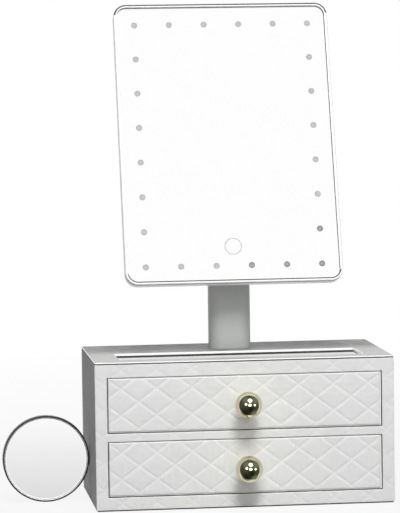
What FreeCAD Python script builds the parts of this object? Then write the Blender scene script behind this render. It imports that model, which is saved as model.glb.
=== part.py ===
import FreeCAD, Part
import math
import os
import re

import Sketcher

# A dressing-table mirror on a two-drawer jewellery cabinet.
# Millimetres.  +Z is up, the front faces -Y, and the origin is the centre of
# the cabinet's underside.  The mirror head is drawn in a frame of its own,
# with the glass face in the XZ plane, and is placed leaning back on its hinge.

doc = FreeCAD.newDocument("vanity_mirror")

# ---------------------------------------------------------------- dimensions

DIMENSIONS = [
    # cabinet
    ("box_wide", 300, "cabinet, left to right"),
    ("box_deep", 160, "cabinet, front to back"),
    ("felt_thick", 1, "felt under the base"),
    ("wrap_thick", 1.2, "leather wrap and quilted fronts"),
    ("stile_wide", 12, "frame beside a drawer, wrap included"),
    ("rail_tall", 13.5, "frame below the lower drawer, felt included"),
    ("bay_tall", 55.8, "height of one drawer opening"),
    ("divider_thick", 8, "board between the drawers"),
    ("back_thick", 9, "back board"),
    ("top_board_thick", 13.2, "board under the top plate, seen as the upper rail"),
    ("plate_thick", 2.2, "satin top plate"),
    ("plate_edge", 0.8, "round upper edge of the top plate"),
    # recess in the top plate
    ("tray_wide", 246, "recess, left to right"),
    ("tray_deep", 56, "recess, front to back"),
    ("tray_margin", 23, "recess to the front edge"),
    ("tray_sunk", 4.3, "recess floor below the top plate"),
    ("tray_corner", 2, "corner radius of the recess"),
    ("lining_thick", 0.5, "lining on the recess floor"),
    # drawers
    ("front_gap", 1.1, "gap round a drawer front"),
    ("front_thick", 9, "board of a drawer front"),
    ("board_thick", 6, "sides and back of a drawer"),
    ("floor_thick", 3, "floor of a drawer"),
    ("velvet_thick", 1, "lining of a drawer"),
    ("roof_gap", 2.1, "back of a drawer to the roof of its bay"),
    ("side_drop", 11, "sides of a drawer below its back"),
    ("drawer_side_gap", 0.8, "drawer side to cabinet side"),
    ("drawer_end_gap", 0.3, "closed drawer to back board, and open drawer to stop"),
    ("drawer_travel", 105, "how far a drawer opens"),
    ("glide_thick", 0.6, "low-friction strip under a drawer side"),
    ("glide_wide", 6, "width of that strip"),
    ("glide_gap", 0.1, "running gap above the strip"),
    ("stop_tall", 4, "stop block hanging from the roof of a bay"),
    ("stop_deep", 6, "stop block, front to back"),
    ("stop_wide", 60, "stop block, left to right"),
    # quilting
    ("quilt_wide", 35.5, "diamond, left to right"),
    ("quilt_tall", 26.6, "diamond, top to bottom"),
    ("quilt_rise", 3.5, "stitch crossing above the middle of a drawer"),
    ("stitch_deep", 0.5, "depth of a stitch groove"),
    # knobs
    ("ball_round", 13.5, "radius of a knob ball"),
    ("ball_reach", 23, "ball centre in front of the drawer front"),
    ("neck_round", 4.5, "radius of a knob neck"),
    ("rose_round", 9, "radius of a knob's foot"),
    ("rose_thick", 2.5, "thickness of a knob's foot"),
    ("knob_thread", 11, "length of screw inside a knob"),
    # fasteners
    ("screw_round", 2, "radius of the M4 screws"),
    ("screw_head_round", 4, "radius of their heads"),
    ("screw_head_tall", 2.4, "height of their heads"),
    ("small_screw_round", 1.25, "radius of the small screws"),
    ("small_head_round", 2.6, "radius of their heads"),
    ("small_head_tall", 1.2, "height of their heads"),
    ("hole_gap", 0.05, "radial clearance of a screw or pin in its hole"),
    # stem
    ("stem_side_room", 3.8, "battery cradle to the side of the stem shell"),
    ("stem_front_room", 4.4, "battery cradle to the front of the stem shell"),
    ("stem_corner", 14, "corner radius of the stem"),
    ("stem_back", 38, "stem centre behind the cabinet's centre"),
    ("stem_wall", 2.4, "wall of the stem shells"),
    ("foot_tall", 8, "foot inside the stem"),
    ("plug_tall", 6, "plug of the hinge head inside the stem"),
    ("cap_thick", 3, "cap on the stem"),
    ("foot_screw_across", 10, "foot screw from the stem's centre"),
    ("fit_gap", 0.1, "foot or plug to shell, and cell to cradle"),
    ("screw_face_gap", 0.5, "lower shell screw's head to the top plate"),
    ("door_wide", 28, "battery door"),
    ("door_tall", 92, "battery door"),
    ("door_rise", 11.5, "bottom of the battery door above the top plate"),
    ("door_gap", 0.3, "gap round the battery door"),
    # batteries
    ("cell_round", 7.1, "radius of an AA cell"),
    ("cell_long", 50.5, "length of an AA cell"),
    ("cell_gap", 0.2, "cell to the stem's middle plane"),
    ("contact_room", 1.25, "contact at each end of a column of cells"),
    ("contact_thick", 0.4, "contact plate"),
    ("contact_round", 6.1, "radius of a contact plate"),
    ("spring_round", 3.5, "radius of a contact's spring"),
    ("cradle_thick", 1.5, "wall behind the cells"),
    ("cradle_side", 0.8, "wall beside the cells"),
    # hinge
    ("knuckle_rise", 1, "underside of the knuckle above the cap"),
    ("lean", 18.5, "lean of the mirror at rest, degrees"),
    ("knuckle_round", 9, "radius of the knuckle"),
    ("knuckle_wide", 22, "width of the knuckle"),
    ("pin_round", 3, "radius of the hinge pin"),
    ("washer_thick", 0.8, "friction washer"),
    ("washer_round", 7, "radius of the friction washer"),
    ("washer_gap", 0.05, "gap on each side of a washer"),
    ("ear_thick", 2, "ear of the hinge bracket"),
    ("ear_round", 8, "round end of an ear"),
    ("pin_head_round", 5.5, "head of the hinge pin"),
    ("pin_head_thick", 2.5, "head of the hinge pin"),
    ("nut_across", 10, "hinge nut, across its flats"),
    ("nut_thick", 3.6, "hinge nut"),
    # mirror head
    ("head_wide", 223, "mirror head, left to right"),
    ("head_tall", 298, "mirror head, bottom to top"),
    ("head_corner", 13, "corner radius of the mirror head"),
    ("head_thick", 15, "glass face to the back of the rear cover"),
    ("bezel_lip", 3.2, "white border in front of the glass"),
    ("bezel_wall", 2.2, "wall of the bezel and the rear cover"),
    ("bezel_proud", 0.8, "border in front of the glass face"),
    ("bezel_deep", 8, "glass face to the seam with the rear cover"),
    ("bezel_edge", 1.2, "round front edge of the bezel"),
    ("cover_thick", 2.2, "back wall of the rear cover"),
    ("cover_edge", 4, "round edge of the rear cover"),
    ("glass_thick", 3, "glass pane"),
    ("glass_gap", 0.2, "glass edge to bezel wall"),
    ("silver_thick", 0.3, "silvering behind the glass, with its paint"),
    ("axis_behind", 33, "hinge axis behind the glass face"),
    ("axis_below", 75.4, "hinge axis below the glass centre, along the glass"),
    # lights
    ("light_side", 21.175, "outer lights to the sides of the head"),
    ("light_end", 20.165, "end lights to the ends of the head, before they are lowered"),
    ("lights_low", 1.8, "middle of the lights below the glass centre"),
    ("window_round", 3.1, "radius of a frosted window"),
    ("window_gap", 0.05, "window to silvering"),
    ("touch_round", 8.8, "outer radius of the touch mark"),
    ("touch_line", 0.8, "width of the touch mark's line"),
    ("touch_rise", 38.5, "touch mark above the lower end of the head"),
    ("light_board_front", 5, "light board behind the glass face"),
    ("light_board_thick", 1.2, "light board"),
    ("light_board_gap", 0.3, "light board to the cover bosses"),
    ("light_board_end", 7.2, "light board beyond the middles of the end lights"),
    ("light_board_band", 18, "width of the light board's band"),
    ("chip_wide", 3.5, "light chip"),
    ("chip_tall", 2.8, "light chip"),
    ("chip_thick", 0.8, "light chip"),
    ("control_wide", 52.8, "control board"),
    ("control_rise", 13.2, "control board above the touch mark's centre"),
    ("control_part_wide", 8.8, "part on the back of the control board"),
    ("control_part_deep", 2.4, "part on the back of the control board"),
    ("sensor_round", 4.4, "radius of the touch sensor's spring"),
    # bosses, bracket, sockets
    ("boss_round", 3.5, "boss for a rear cover screw"),
    ("boss_bite", 0.5, "boss into the bezel wall"),
    ("boss_end", 29, "upper and lower bosses from the ends of the head"),
    ("cover_screw_long", 6.8, "rear cover screw below its head"),
    ("bracket_screw_long", 6.4, "bracket screw below its head"),
    ("bracket_wide", 56, "hinge bracket"),
    ("bracket_tall", 44, "hinge bracket"),
    ("bracket_thick", 2, "hinge bracket"),
    ("bracket_hole_across", 22, "bracket hole from the middle"),
    ("bracket_hole_up", 16, "bracket hole from the middle"),
    ("socket_across", 40, "inlet and switch from the middle"),
    ("socket_rise", 39, "inlet and switch above the lower end of the head"),
    ("inlet_wide", 8, "inlet shell"),
    ("inlet_tall", 3.2, "inlet shell"),
    ("inlet_deep", 6, "inlet shell"),
    ("inlet_wall", 0.5, "wall of the inlet shell"),
    ("slider_wide", 7, "switch button"),
    ("slider_tall", 4, "switch button"),
    ("slider_proud", 1.5, "switch button behind the rear cover"),
    ("slider_flange", 2.5, "flange round the switch button"),
    ("slider_travel", 3, "travel of the switch button"),
    ("slot_gap", 0.2, "switch button to its slot"),
    # detached magnifying mirror
    ("disc_round", 44, "radius of the magnifying mirror"),
    ("disc_deep", 12, "rim and back together"),
    ("disc_gap", 0.3, "magnifying mirror to the cabinet's side"),
    ("disc_rim", 2.3, "width of the chrome rim"),
    ("disc_rim_deep", 8, "depth of the chrome rim"),
    ("disc_glass_sunk", 0.8, "glass behind the front of the rim"),
    ("disc_glass_thick", 3, "glass at its edge"),
    ("disc_dish", 1, "hollow of the glass at its centre"),
    ("disc_fit", 0.05, "glass or back to rim"),
    ("cup_neck_round", 6, "neck of the suction cup"),
    ("cup_neck_long", 4, "neck of the suction cup"),
    ("cup_round", 17, "lip of the suction cup"),
    ("cup_deep", 7, "bell of the suction cup"),
    ("cup_wall", 2, "wall of the suction cup"),
]

sizes = doc.addObject("Spreadsheet::Sheet", "sizes")
for row, (name, size, meaning) in enumerate(DIMENSIONS, start=1):
    sizes.set(f"A{row}", name)
    sizes.set(f"B{row}", str(size))
    sizes.set(f"C{row}", meaning)
    sizes.setAlias(f"B{row}", name)
doc.recompute()

# Places worked out from the dimensions, as formulas over the sheet's names.
SHORTHAND = {
    "half_wide": "(box_wide/2)",
    "box_tall": "(rail_tall + 2*bay_tall + divider_thick + top_board_thick + plate_thick)",
    "half_deep": "(box_deep/2)",
    "core_wide": "(box_wide/2 - wrap_thick)",
    "core_deep": "(box_deep/2 - wrap_thick)",
    "bay_side": "(box_wide/2 - stile_wide)",
    "bay_back": "(box_deep/2 - wrap_thick - back_thick)",
    "lower_bay": "rail_tall",
    "divider_low": "(rail_tall + bay_tall)",
    "upper_bay": "(rail_tall + bay_tall + divider_thick)",
    "bay_roof": "(rail_tall + 2*bay_tall + divider_thick)",
    "plate_low": "(box_tall - plate_thick)",
    "tray_front": "(tray_margin - box_deep/2)",
    "tray_rear": "(tray_margin - box_deep/2 + tray_deep)",
    "tray_floor": "(box_tall - tray_sunk)",
    "hole_round": "(screw_round + hole_gap)",
    "drawer_back_tall": "(bay_tall - glide_thick - glide_gap - roof_gap)",
    "drawer_side_tall": "(drawer_back_tall - side_drop)",
    "cell_across": "(cell_round + cell_gap)",
    "cradle_edge": "(cell_across + cell_round + fit_gap)",
    "stem_wide": "(2*(cradle_edge + cradle_side + stem_side_room + stem_wall))",
    "stem_deep": "(2*(cell_round + fit_gap + cradle_thick + stem_front_room + stem_wall))",
    "foot_top": "(box_tall + foot_tall)",
    "plug_low": "(foot_top + 2*cell_long + 2*contact_room)",
    "stem_top": "(plug_low + plug_tall)",
    "cap_top": "(stem_top + cap_thick)",
    "door_low": "(box_tall + door_rise)",
    "foot_screw_up": "(box_tall + screw_head_round + screw_face_gap)",
    "plug_screw_up": "(stem_top - plug_tall/2)",
    "hinge_back": "(stem_back)",
    "hinge_high": "(cap_top + knuckle_rise + knuckle_round)",
    "ear_inside": "(knuckle_wide/2 + washer_thick + 2*washer_gap)",
    "ear_outside": "(knuckle_wide/2 + washer_thick + 2*washer_gap + ear_thick)",
    "silver_back": "(glass_thick + silver_thick)",
    "cover_inside": "(head_thick - cover_thick)",
    "boss_across": "(head_wide/2 - bezel_wall - boss_round + boss_bite)",
    "boss_up": "(head_tall/2 - boss_end)",
    "light_pitch_across": "((head_wide - 2*light_side)/5)",
    "light_pitch_up": "((head_tall - 2*light_end)/7)",
    "touch_below": "(head_tall/2 - touch_rise)",
    "socket_below": "(head_tall/2 - socket_rise)",
    "light_board_wide": "(2*(boss_across - boss_round - light_board_gap))",
    "light_board_tall": "(7*light_pitch_up + 2*light_board_end)",
    "bracket_back": "(head_thick + bracket_thick)",
    "disc_across": "(-box_wide/2 - disc_gap - disc_round)",
    "disc_back": "(disc_deep/2)",
    "disc_glass_back": "(disc_glass_sunk + disc_glass_thick - disc_deep/2)",
}
SHEET_NAMES = {name for name, size, meaning in DIMENSIONS}


def expand(formula):
    """Write a formula out in the sheet's own cell names."""
    def swap(match):
        word = match[0]
        if word in SHORTHAND:
            return expand(SHORTHAND[word])
        return "sizes." + word if word in SHEET_NAMES else word
    return re.sub(r"[a-z_]+[a-z0-9_]*", swap, str(formula))


def bind(item, prop, formula):
    """Tie a property of an object to a formula over the sheet."""
    item.setExpression(prop, expand(formula))


def number(formula):
    """The value of a formula over the sheet."""
    return float(sizes.evalExpression(expand(formula)))


# ------------------------------------------------------------ building blocks

NEAR = 0.01  # how close an edge's middle is to a face that it lies in
PLANES = {"XY": "XY_Plane", "XZ": "XZ_Plane", "YZ": "YZ_Plane"}
TURNS = {  # turns a cylinder's or cone's own Z axis to the named axis
    "X": FreeCAD.Rotation(FreeCAD.Vector(0, 1, 0), 90),
    "Y": FreeCAD.Rotation(FreeCAD.Vector(1, 0, 0), -90),
    "Z": FreeCAD.Rotation(),
}


class Outline:
    """A sketch on one of a body's origin planes, its sizes tied to the sheet."""

    def __init__(self, body, plane, level):
        self.sketch = body.newObject("Sketcher::SketchObject", body.Label + "_outline")
        role = PLANES[plane]
        support = [item for item in body.Origin.OriginFeatures if item.Role == role]
        self.sketch.AttachmentSupport = [(support[0], "")]
        self.sketch.MapMode = "FlatFace"
        sign = "-" if plane == "XZ" else ""
        bind(self.sketch, "AttachmentOffset.Base.z", f"{sign}({level})")

    def fix(self, kind, geometry, point, formula):
        value = number(formula)
        index = self.sketch.addConstraint(Sketcher.Constraint(kind, geometry, point, value))
        self.sketch.setExpression(f"Constraints[{index}]", expand(formula))

    def pin_down(self, geometry, point, across, up):
        self.fix("DistanceX", geometry, point, across)
        self.fix("DistanceY", geometry, point, up)

    def polygon(self, corners):
        places = [FreeCAD.Vector(number(a), number(b), 0) for a, b in corners]
        edges = []
        for start, end in zip(places, places[1:] + places[:1]):
            edges.append(self.sketch.addGeometry(Part.LineSegment(start, end)))
        for edge, following in zip(edges, edges[1:] + edges[:1]):
            self.sketch.addConstraint(Sketcher.Constraint("Coincident", edge, 2, following, 1))
        for edge, (across, up) in zip(edges, corners):
            self.pin_down(edge, 1, across, up)
        return self

    def rectangle(self, left, right, low, high):
        return self.polygon([(left, low), (right, low), (right, high), (left, high)])

    def circle(self, across, up, radius):
        centre = FreeCAD.Vector(number(across), number(up), 0)
        round_edge = Part.Circle(centre, FreeCAD.Vector(0, 0, 1), number(radius))
        index = self.sketch.addGeometry(round_edge)
        self.pin_down(index, 3, across, up)
        constraint = self.sketch.addConstraint(Sketcher.Constraint("Radius", index, number(radius)))
        self.sketch.setExpression(f"Constraints[{constraint}]", expand(radius))
        return self

    def rounded(self, wide, tall, radius, across="0", up="0"):
        """A rectangle with round corners, given by its size and middle."""
        half_wide = number(wide) / 2
        half_tall = number(tall) / 2
        corner = number(radius)
        middle = FreeCAD.Vector(number(across), number(up), 0)
        arcs = []
        for quarter, (side, end) in enumerate([(1, 1), (-1, 1), (-1, -1), (1, -1)]):
            offset = FreeCAD.Vector(side * (half_wide - corner), end * (half_tall - corner), 0)
            circle = Part.Circle(middle + offset, FreeCAD.Vector(0, 0, 1), corner)
            start = quarter * math.pi / 2
            arc = self.sketch.addGeometry(Part.ArcOfCircle(circle, start, start + math.pi / 2))
            arcs.append((arc, side, end))
        lines = []
        for (arc, _, _), (following, _, _) in zip(arcs, arcs[1:] + arcs[:1]):
            start = self.sketch.getPoint(arc, 2)
            end = self.sketch.getPoint(following, 1)
            lines.append(self.sketch.addGeometry(Part.LineSegment(start, end)))
        following_arcs = arcs[1:] + arcs[:1]
        for line, (arc, _, _), (following, _, _) in zip(lines, arcs, following_arcs):
            self.sketch.addConstraint(Sketcher.Constraint("Tangent", arc, 2, line, 1))
            self.sketch.addConstraint(Sketcher.Constraint("Tangent", line, 2, following, 1))
        for arc, side, end in arcs:
            self.pin_down(
                arc, 3,
                f"({across}) + {side}*(({wide})/2 - ({radius}))",
                f"({up}) + {end}*(({tall})/2 - ({radius}))",
            )
            index = self.sketch.addConstraint(Sketcher.Constraint("Radius", arc, corner))
            self.sketch.setExpression(f"Constraints[{index}]", expand(radius))
        return self


class Piece:
    """One separate piece of the object: a body with features tied to the sheet."""

    made = []

    def __init__(self, label, kept=True):
        """A blank that is cut further outside its body isn't kept itself."""
        self.label = label
        self.body = doc.addObject("PartDesign::Body", label)
        self.body.Label = label
        if kept:
            Piece.made.append(self.body)

    def outline(self, plane, level):
        return Outline(self.body, plane, level)

    def pad(self, outline, long):
        """Raise an outline towards +X, +Y or +Z."""
        pad = self.body.newObject("PartDesign::Pad", self.label + "_pad")
        pad.Profile = outline.sketch
        pad.Reversed = "XZ" in outline.sketch.AttachmentSupport[0][0].Role
        bind(pad, "Length", long)
        outline.sketch.Visibility = False
        doc.recompute()
        return self

    def pocket(self, outline, deep):
        """Sink an outline towards +X, +Y or +Z."""
        before = self.body.Shape.Volume
        pocket = self.body.newObject("PartDesign::Pocket", self.label + "_pocket")
        pocket.Profile = outline.sketch
        pocket.Reversed = "XZ" not in outline.sketch.AttachmentSupport[0][0].Role
        bind(pocket, "Length", deep)
        doc.recompute()
        if self.body.Shape.Volume >= before:
            raise ValueError(f"{self.label}: a pocket cuts nothing")
        return self

    def box(self, x, y, z, cut=False):
        """A box between two formulas along each axis."""
        kind = "PartDesign::SubtractiveBox" if cut else "PartDesign::AdditiveBox"
        box = self.body.newObject(kind, self.label + "_box")
        for axis, prop, (low, high) in zip("xyz", ("Length", "Width", "Height"), (x, y, z)):
            bind(box, prop, f"({high}) - ({low})")
            bind(box, f"Placement.Base.{axis}", low)
        doc.recompute()
        return self

    def cylinder(self, axis, at, radius, long, cut=False):
        """A cylinder that starts at a point and runs along +X, +Y or +Z."""
        kind = "PartDesign::SubtractiveCylinder" if cut else "PartDesign::AdditiveCylinder"
        cylinder = self.body.newObject(kind, self.label + "_cylinder")
        cylinder.Placement = FreeCAD.Placement(FreeCAD.Vector(), TURNS[axis])
        bind(cylinder, "Radius", radius)
        bind(cylinder, "Height", long)
        for name, formula in zip("xyz", at):
            bind(cylinder, f"Placement.Base.{name}", formula)
        doc.recompute()
        return self

    def cone(self, axis, at, first_radius, last_radius, long, cut=False):
        """A cone that starts at a point and runs along +X, +Y or +Z."""
        kind = "PartDesign::SubtractiveCone" if cut else "PartDesign::AdditiveCone"
        cone = self.body.newObject(kind, self.label + "_cone")
        cone.Placement = FreeCAD.Placement(FreeCAD.Vector(), TURNS[axis])
        bind(cone, "Radius1", first_radius)
        bind(cone, "Radius2", last_radius)
        bind(cone, "Height", long)
        for name, formula in zip("xyz", at):
            bind(cone, f"Placement.Base.{name}", formula)
        doc.recompute()
        return self

    def sphere(self, at, radius, cut=False):
        kind = "PartDesign::SubtractiveSphere" if cut else "PartDesign::AdditiveSphere"
        sphere = self.body.newObject(kind, self.label + "_sphere")
        bind(sphere, "Radius", radius)
        for name, formula in zip("xyz", at):
            bind(sphere, f"Placement.Base.{name}", formula)
        doc.recompute()
        return self

    def fillet(self, wanted, radius):
        """Round the edges that a test picks."""
        tip = self.body.Tip
        names = [f"Edge{n}" for n, edge in enumerate(tip.Shape.Edges, start=1) if wanted(edge)]
        fillet = self.body.newObject("PartDesign::Fillet", self.label + "_fillet")
        fillet.Base = (tip, names)
        bind(fillet, "Radius", radius)
        doc.recompute()
        return self


def middle(edge):
    return edge.BoundBox.Center


def board(label, x, y, z):
    """A plain board between two formulas along each axis."""
    return Piece(label).box(x, y, z)


def group(label, parts):
    """Several separate solids that share one node."""
    joined = doc.addObject("Part::Compound", label)
    joined.Label = label
    joined.Links = parts
    Piece.made.append(joined)
    doc.recompute()
    return joined


def loose(kind, name, at, **lengths):
    """A Part primitive, tied to the sheet, for use inside a group or a cut."""
    item = doc.addObject(kind, name)
    for prop, formula in lengths.items():
        bind(item, prop, formula)
    for axis, formula in zip("xyz", at):
        bind(item, f"Placement.Base.{axis}", formula)
    return item


def turn(item, axis):
    """Point a Part cylinder along an axis, keeping its place."""
    item.Placement = FreeCAD.Placement(item.Placement.Base, TURNS[axis])
    return item


def fuse(name, parts):
    item = doc.addObject("Part::MultiFuse", name)
    item.Shapes = parts
    return item


def cut(name, base, tool):
    item = doc.addObject("Part::Cut", name)
    item.Base = base
    item.Tool = tool
    return item


def screw(name, axis, at, sign, shank_round, shank_long, head_round, head_tall):
    """A screw whose head meets the face at a point and whose shank runs on past it.

    The shank runs along +axis when sign is 1, and along -axis when it is -1.
    """
    letter = "XYZ".index(axis)
    head_start = list(at)
    shank_start = list(at)
    if sign > 0:
        head_start[letter] = f"({at[letter]}) - ({head_tall})"
    else:
        shank_start[letter] = f"({at[letter]}) - ({shank_long})"
    head = loose("Part::Cylinder", name + "_head", head_start, Radius=head_round, Height=head_tall)
    shank = loose(
        "Part::Cylinder", name + "_shank", shank_start, Radius=shank_round, Height=shank_long
    )
    return fuse(name, [turn(head, axis), turn(shank, axis)])


# -------------------------------------------------------------------- cabinet

def make_carcass():
    inside = ("-bay_side", "bay_side")
    depth = ("-core_deep", "core_deep")
    board("base_felt", ("-core_wide", "core_wide"), depth, ("0", "felt_thick"))
    board("base_board", ("-core_wide", "core_wide"), depth, ("felt_thick", "lower_bay"))
    walls = ("lower_bay", "bay_roof")
    board("left_side_board", ("-core_wide", "-bay_side"), depth, walls)
    board("right_side_board", ("bay_side", "core_wide"), depth, walls)
    board("back_board", inside, ("bay_back", "core_deep"), walls)
    board("drawer_divider", inside, ("-core_deep", "bay_back"), ("divider_low", "upper_bay"))
    make_top()
    make_wrap()
    make_glides()
    make_stops()


def make_top():
    """The top board, the plate with its recess, and the recess lining."""
    top = board("top_board", ("-core_wide", "core_wide"), ("-core_deep", "core_deep"),
                ("bay_roof", "plate_low"))
    recess = (("-tray_wide/2", "tray_wide/2"), ("tray_front", "tray_rear"))
    top.box(*recess, ("tray_floor - lining_thick", "plate_low"), cut=True)
    for side in ("-", ""):
        at = (f"{side}foot_screw_across", "stem_back")
        top.cylinder("Z", (*at, "bay_roof"), "hole_round", "plate_low - bay_roof", cut=True)
        top.cylinder("Z", (*at, "bay_roof"), "screw_head_round + hole_gap", "screw_head_tall",
                     cut=True)

    plate = Piece("top_plate")
    outline = plate.outline("XY", "plate_low")
    outline.rectangle("-half_wide", "half_wide", "-half_deep", "half_deep")
    outline.rounded("tray_wide", "tray_deep", "tray_corner", up="tray_front + tray_deep/2")
    for side in ("-", ""):
        outline.circle(f"{side}foot_screw_across", "stem_back", "hole_round")
    plate.pad(outline, "plate_thick")
    top_face = number("box_tall")
    half_wide = number("half_wide")
    half_deep = number("half_deep")

    def on_rim(edge):
        at = middle(edge)
        outside = max(abs(at.x) - half_wide, abs(at.y) - half_deep)
        return abs(at.z - top_face) < NEAR and abs(outside) < NEAR

    plate.fillet(on_rim, "plate_edge")

    lining = Piece("tray_lining")
    lining.box(*recess, ("tray_floor - lining_thick", "tray_floor"))


def make_wrap():
    """The leather round the sides and back, and the quilted leather on the frame."""
    wrap = Piece("outer_wrap")
    outline = wrap.outline("XY", "felt_thick")
    outline.polygon([
        ("-half_wide", "-core_deep"), ("-core_wide", "-core_deep"),
        ("-core_wide", "core_deep"), ("core_wide", "core_deep"),
        ("core_wide", "-core_deep"), ("half_wide", "-core_deep"),
        ("half_wide", "half_deep"), ("-half_wide", "half_deep"),
    ])
    wrap.pad(outline, "plate_low - felt_thick")

    sheet = Piece("frame_quilt_sheet", kept=False)
    outline = sheet.outline("XZ", "-half_deep")
    outline.rectangle("-half_wide", "half_wide", "felt_thick", "plate_low")
    for low in ("lower_bay", "upper_bay"):
        outline.rectangle("-bay_side", "bay_side", low, f"({low}) + bay_tall")
    sheet.pad(outline, "wrap_thick")
    quilt("frame_quilt", sheet.body, "box_wide", "0", "box_tall", "box_tall/2")


def make_glides():
    """Two low-friction strips under each drawer."""
    strips = []
    for low in ("lower_bay", "upper_bay"):
        for side in ("-", ""):
            middle_across = f"{side}(bay_side - drawer_side_gap - board_thick/2)"
            strips.append(loose(
                "Part::Box", "glide", (f"{middle_across} - glide_wide/2", "-core_deep + front_thick",
                                       low),
                Length="glide_wide", Width="bay_back + core_deep - front_thick",
                Height="glide_thick",
            ))
    group("drawer_glides", strips)


def make_stops():
    """A block in the roof of each bay that the back of an open drawer meets."""
    blocks = []
    rear = "bay_back - drawer_end_gap - board_thick - drawer_travel - drawer_end_gap"
    for low in ("lower_bay", "upper_bay"):
        blocks.append(loose(
            "Part::Box", "stop",
            ("-stop_wide/2", f"{rear} - stop_deep", f"{low} + bay_tall - stop_tall"),
            Length="stop_wide", Width="stop_deep", Height="stop_tall",
        ))
    group("drawer_stops", blocks)


# ------------------------------------------------------------------- quilting

def quilt(label, sheet, wide, across, tall, up):
    """Press a diamond lattice of stitch grooves into the front of a leather sheet.

    One stitch crossing lies at (across, up) on the sheet's front face.
    """
    rise = math.atan2(number("quilt_tall"), number("quilt_wide"))
    spacing = number("quilt_wide") * math.sin(rise)
    reach = math.hypot(number(wide), number(tall))
    count = int(reach / spacing / 2) + 1
    side = number("stitch_deep") * math.sqrt(2)
    start = FreeCAD.Vector(number(across), -number("half_deep"), number(up))
    left = sheet
    for name, slope in (("rising", rise), ("falling", -rise)):
        along = FreeCAD.Vector(math.cos(slope), 0, math.sin(slope))
        aside = FreeCAD.Vector(-math.sin(slope), 0, math.cos(slope))
        tilt = FreeCAD.Rotation(along, FreeCAD.Vector(0, -1, 0), aside, "XYZ")
        roll = FreeCAD.Rotation(FreeCAD.Vector(1, 0, 0), 45)
        grooves = []
        for line in range(-count, count + 1):
            bar = doc.addObject("Part::Box", f"{label}_{name}")
            bar.Length = 2 * reach
            bind(bar, "Width", "stitch_deep*sqrt(2)")
            bind(bar, "Height", "stitch_deep*sqrt(2)")
            turned = tilt.multiply(roll)
            middle_of_bar = turned.multVec(FreeCAD.Vector(reach, side / 2, side / 2))
            bar.Placement = FreeCAD.Placement(start + aside * spacing * line - middle_of_bar, turned)
            grooves.append(bar)
        tool = doc.addObject("Part::Compound", f"{label}_{name}_grooves")
        tool.Links = grooves
        left = cut(f"{label}_{name}_cut", left, tool)
        doc.recompute()
    left.Label = label
    Piece.made.append(left)


# -------------------------------------------------------------------- drawers

def make_drawer(level, bay):
    """One drawer: its boards, its quilted front, its knob and the knob's screw."""
    name = level + "_drawer_"
    low = f"({bay} + glide_thick + glide_gap)"
    outer = "(bay_side - drawer_side_gap)"
    inner = "(bay_side - drawer_side_gap - board_thick)"
    rear = "(bay_back - drawer_end_gap)"
    front = "(-core_deep + front_thick)"
    front_low = f"({bay} + front_gap)"
    front_high = f"({bay} + bay_tall - front_gap)"
    centre = f"({bay} + bay_tall/2)"
    sides = (front, rear)
    side_high = f"{low} + drawer_side_tall"

    face = board(name + "front_board", ("-bay_side + front_gap", "bay_side - front_gap"),
                 ("-core_deep", front), (front_low, front_high))
    face.cylinder("Y", ("0", "-core_deep", centre), "hole_round", "front_thick", cut=True)
    board(name + "left_side", (f"-{outer}", f"-{inner}"), sides, (low, side_high))
    board(name + "right_side", (inner, outer), sides, (low, side_high))
    between = (f"-{inner}", inner)
    board(name + "back", between, (f"{rear} - board_thick", rear),
          (low, f"{low} + drawer_back_tall"))
    floor_span = (front, f"{rear} - board_thick")
    board(name + "floor", between, floor_span, (low, f"{low} + floor_thick"))
    board(name + "lining", between, floor_span,
          (f"{low} + floor_thick", f"{low} + floor_thick + velvet_thick"))

    leather = Piece(name + "quilt_sheet", kept=False)
    outline = leather.outline("XZ", "-half_deep")
    outline.rectangle("-bay_side + front_gap", "bay_side - front_gap", front_low, front_high)
    outline.circle("0", centre, "hole_round")
    leather.pad(outline, "wrap_thick")
    quilt(name + "quilt", leather.body, "box_wide", "0", "bay_tall", f"{centre} + quilt_rise")

    make_knob(name + "knob", centre)

    bolt = screw(
        name + "knob_screw", "Y", ("0", front, centre), -1, "screw_round",
        "front_thick + wrap_thick + knob_thread - hole_gap", "screw_head_round", "screw_head_tall",
    )
    Piece.made.append(bolt)
    doc.recompute()


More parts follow.
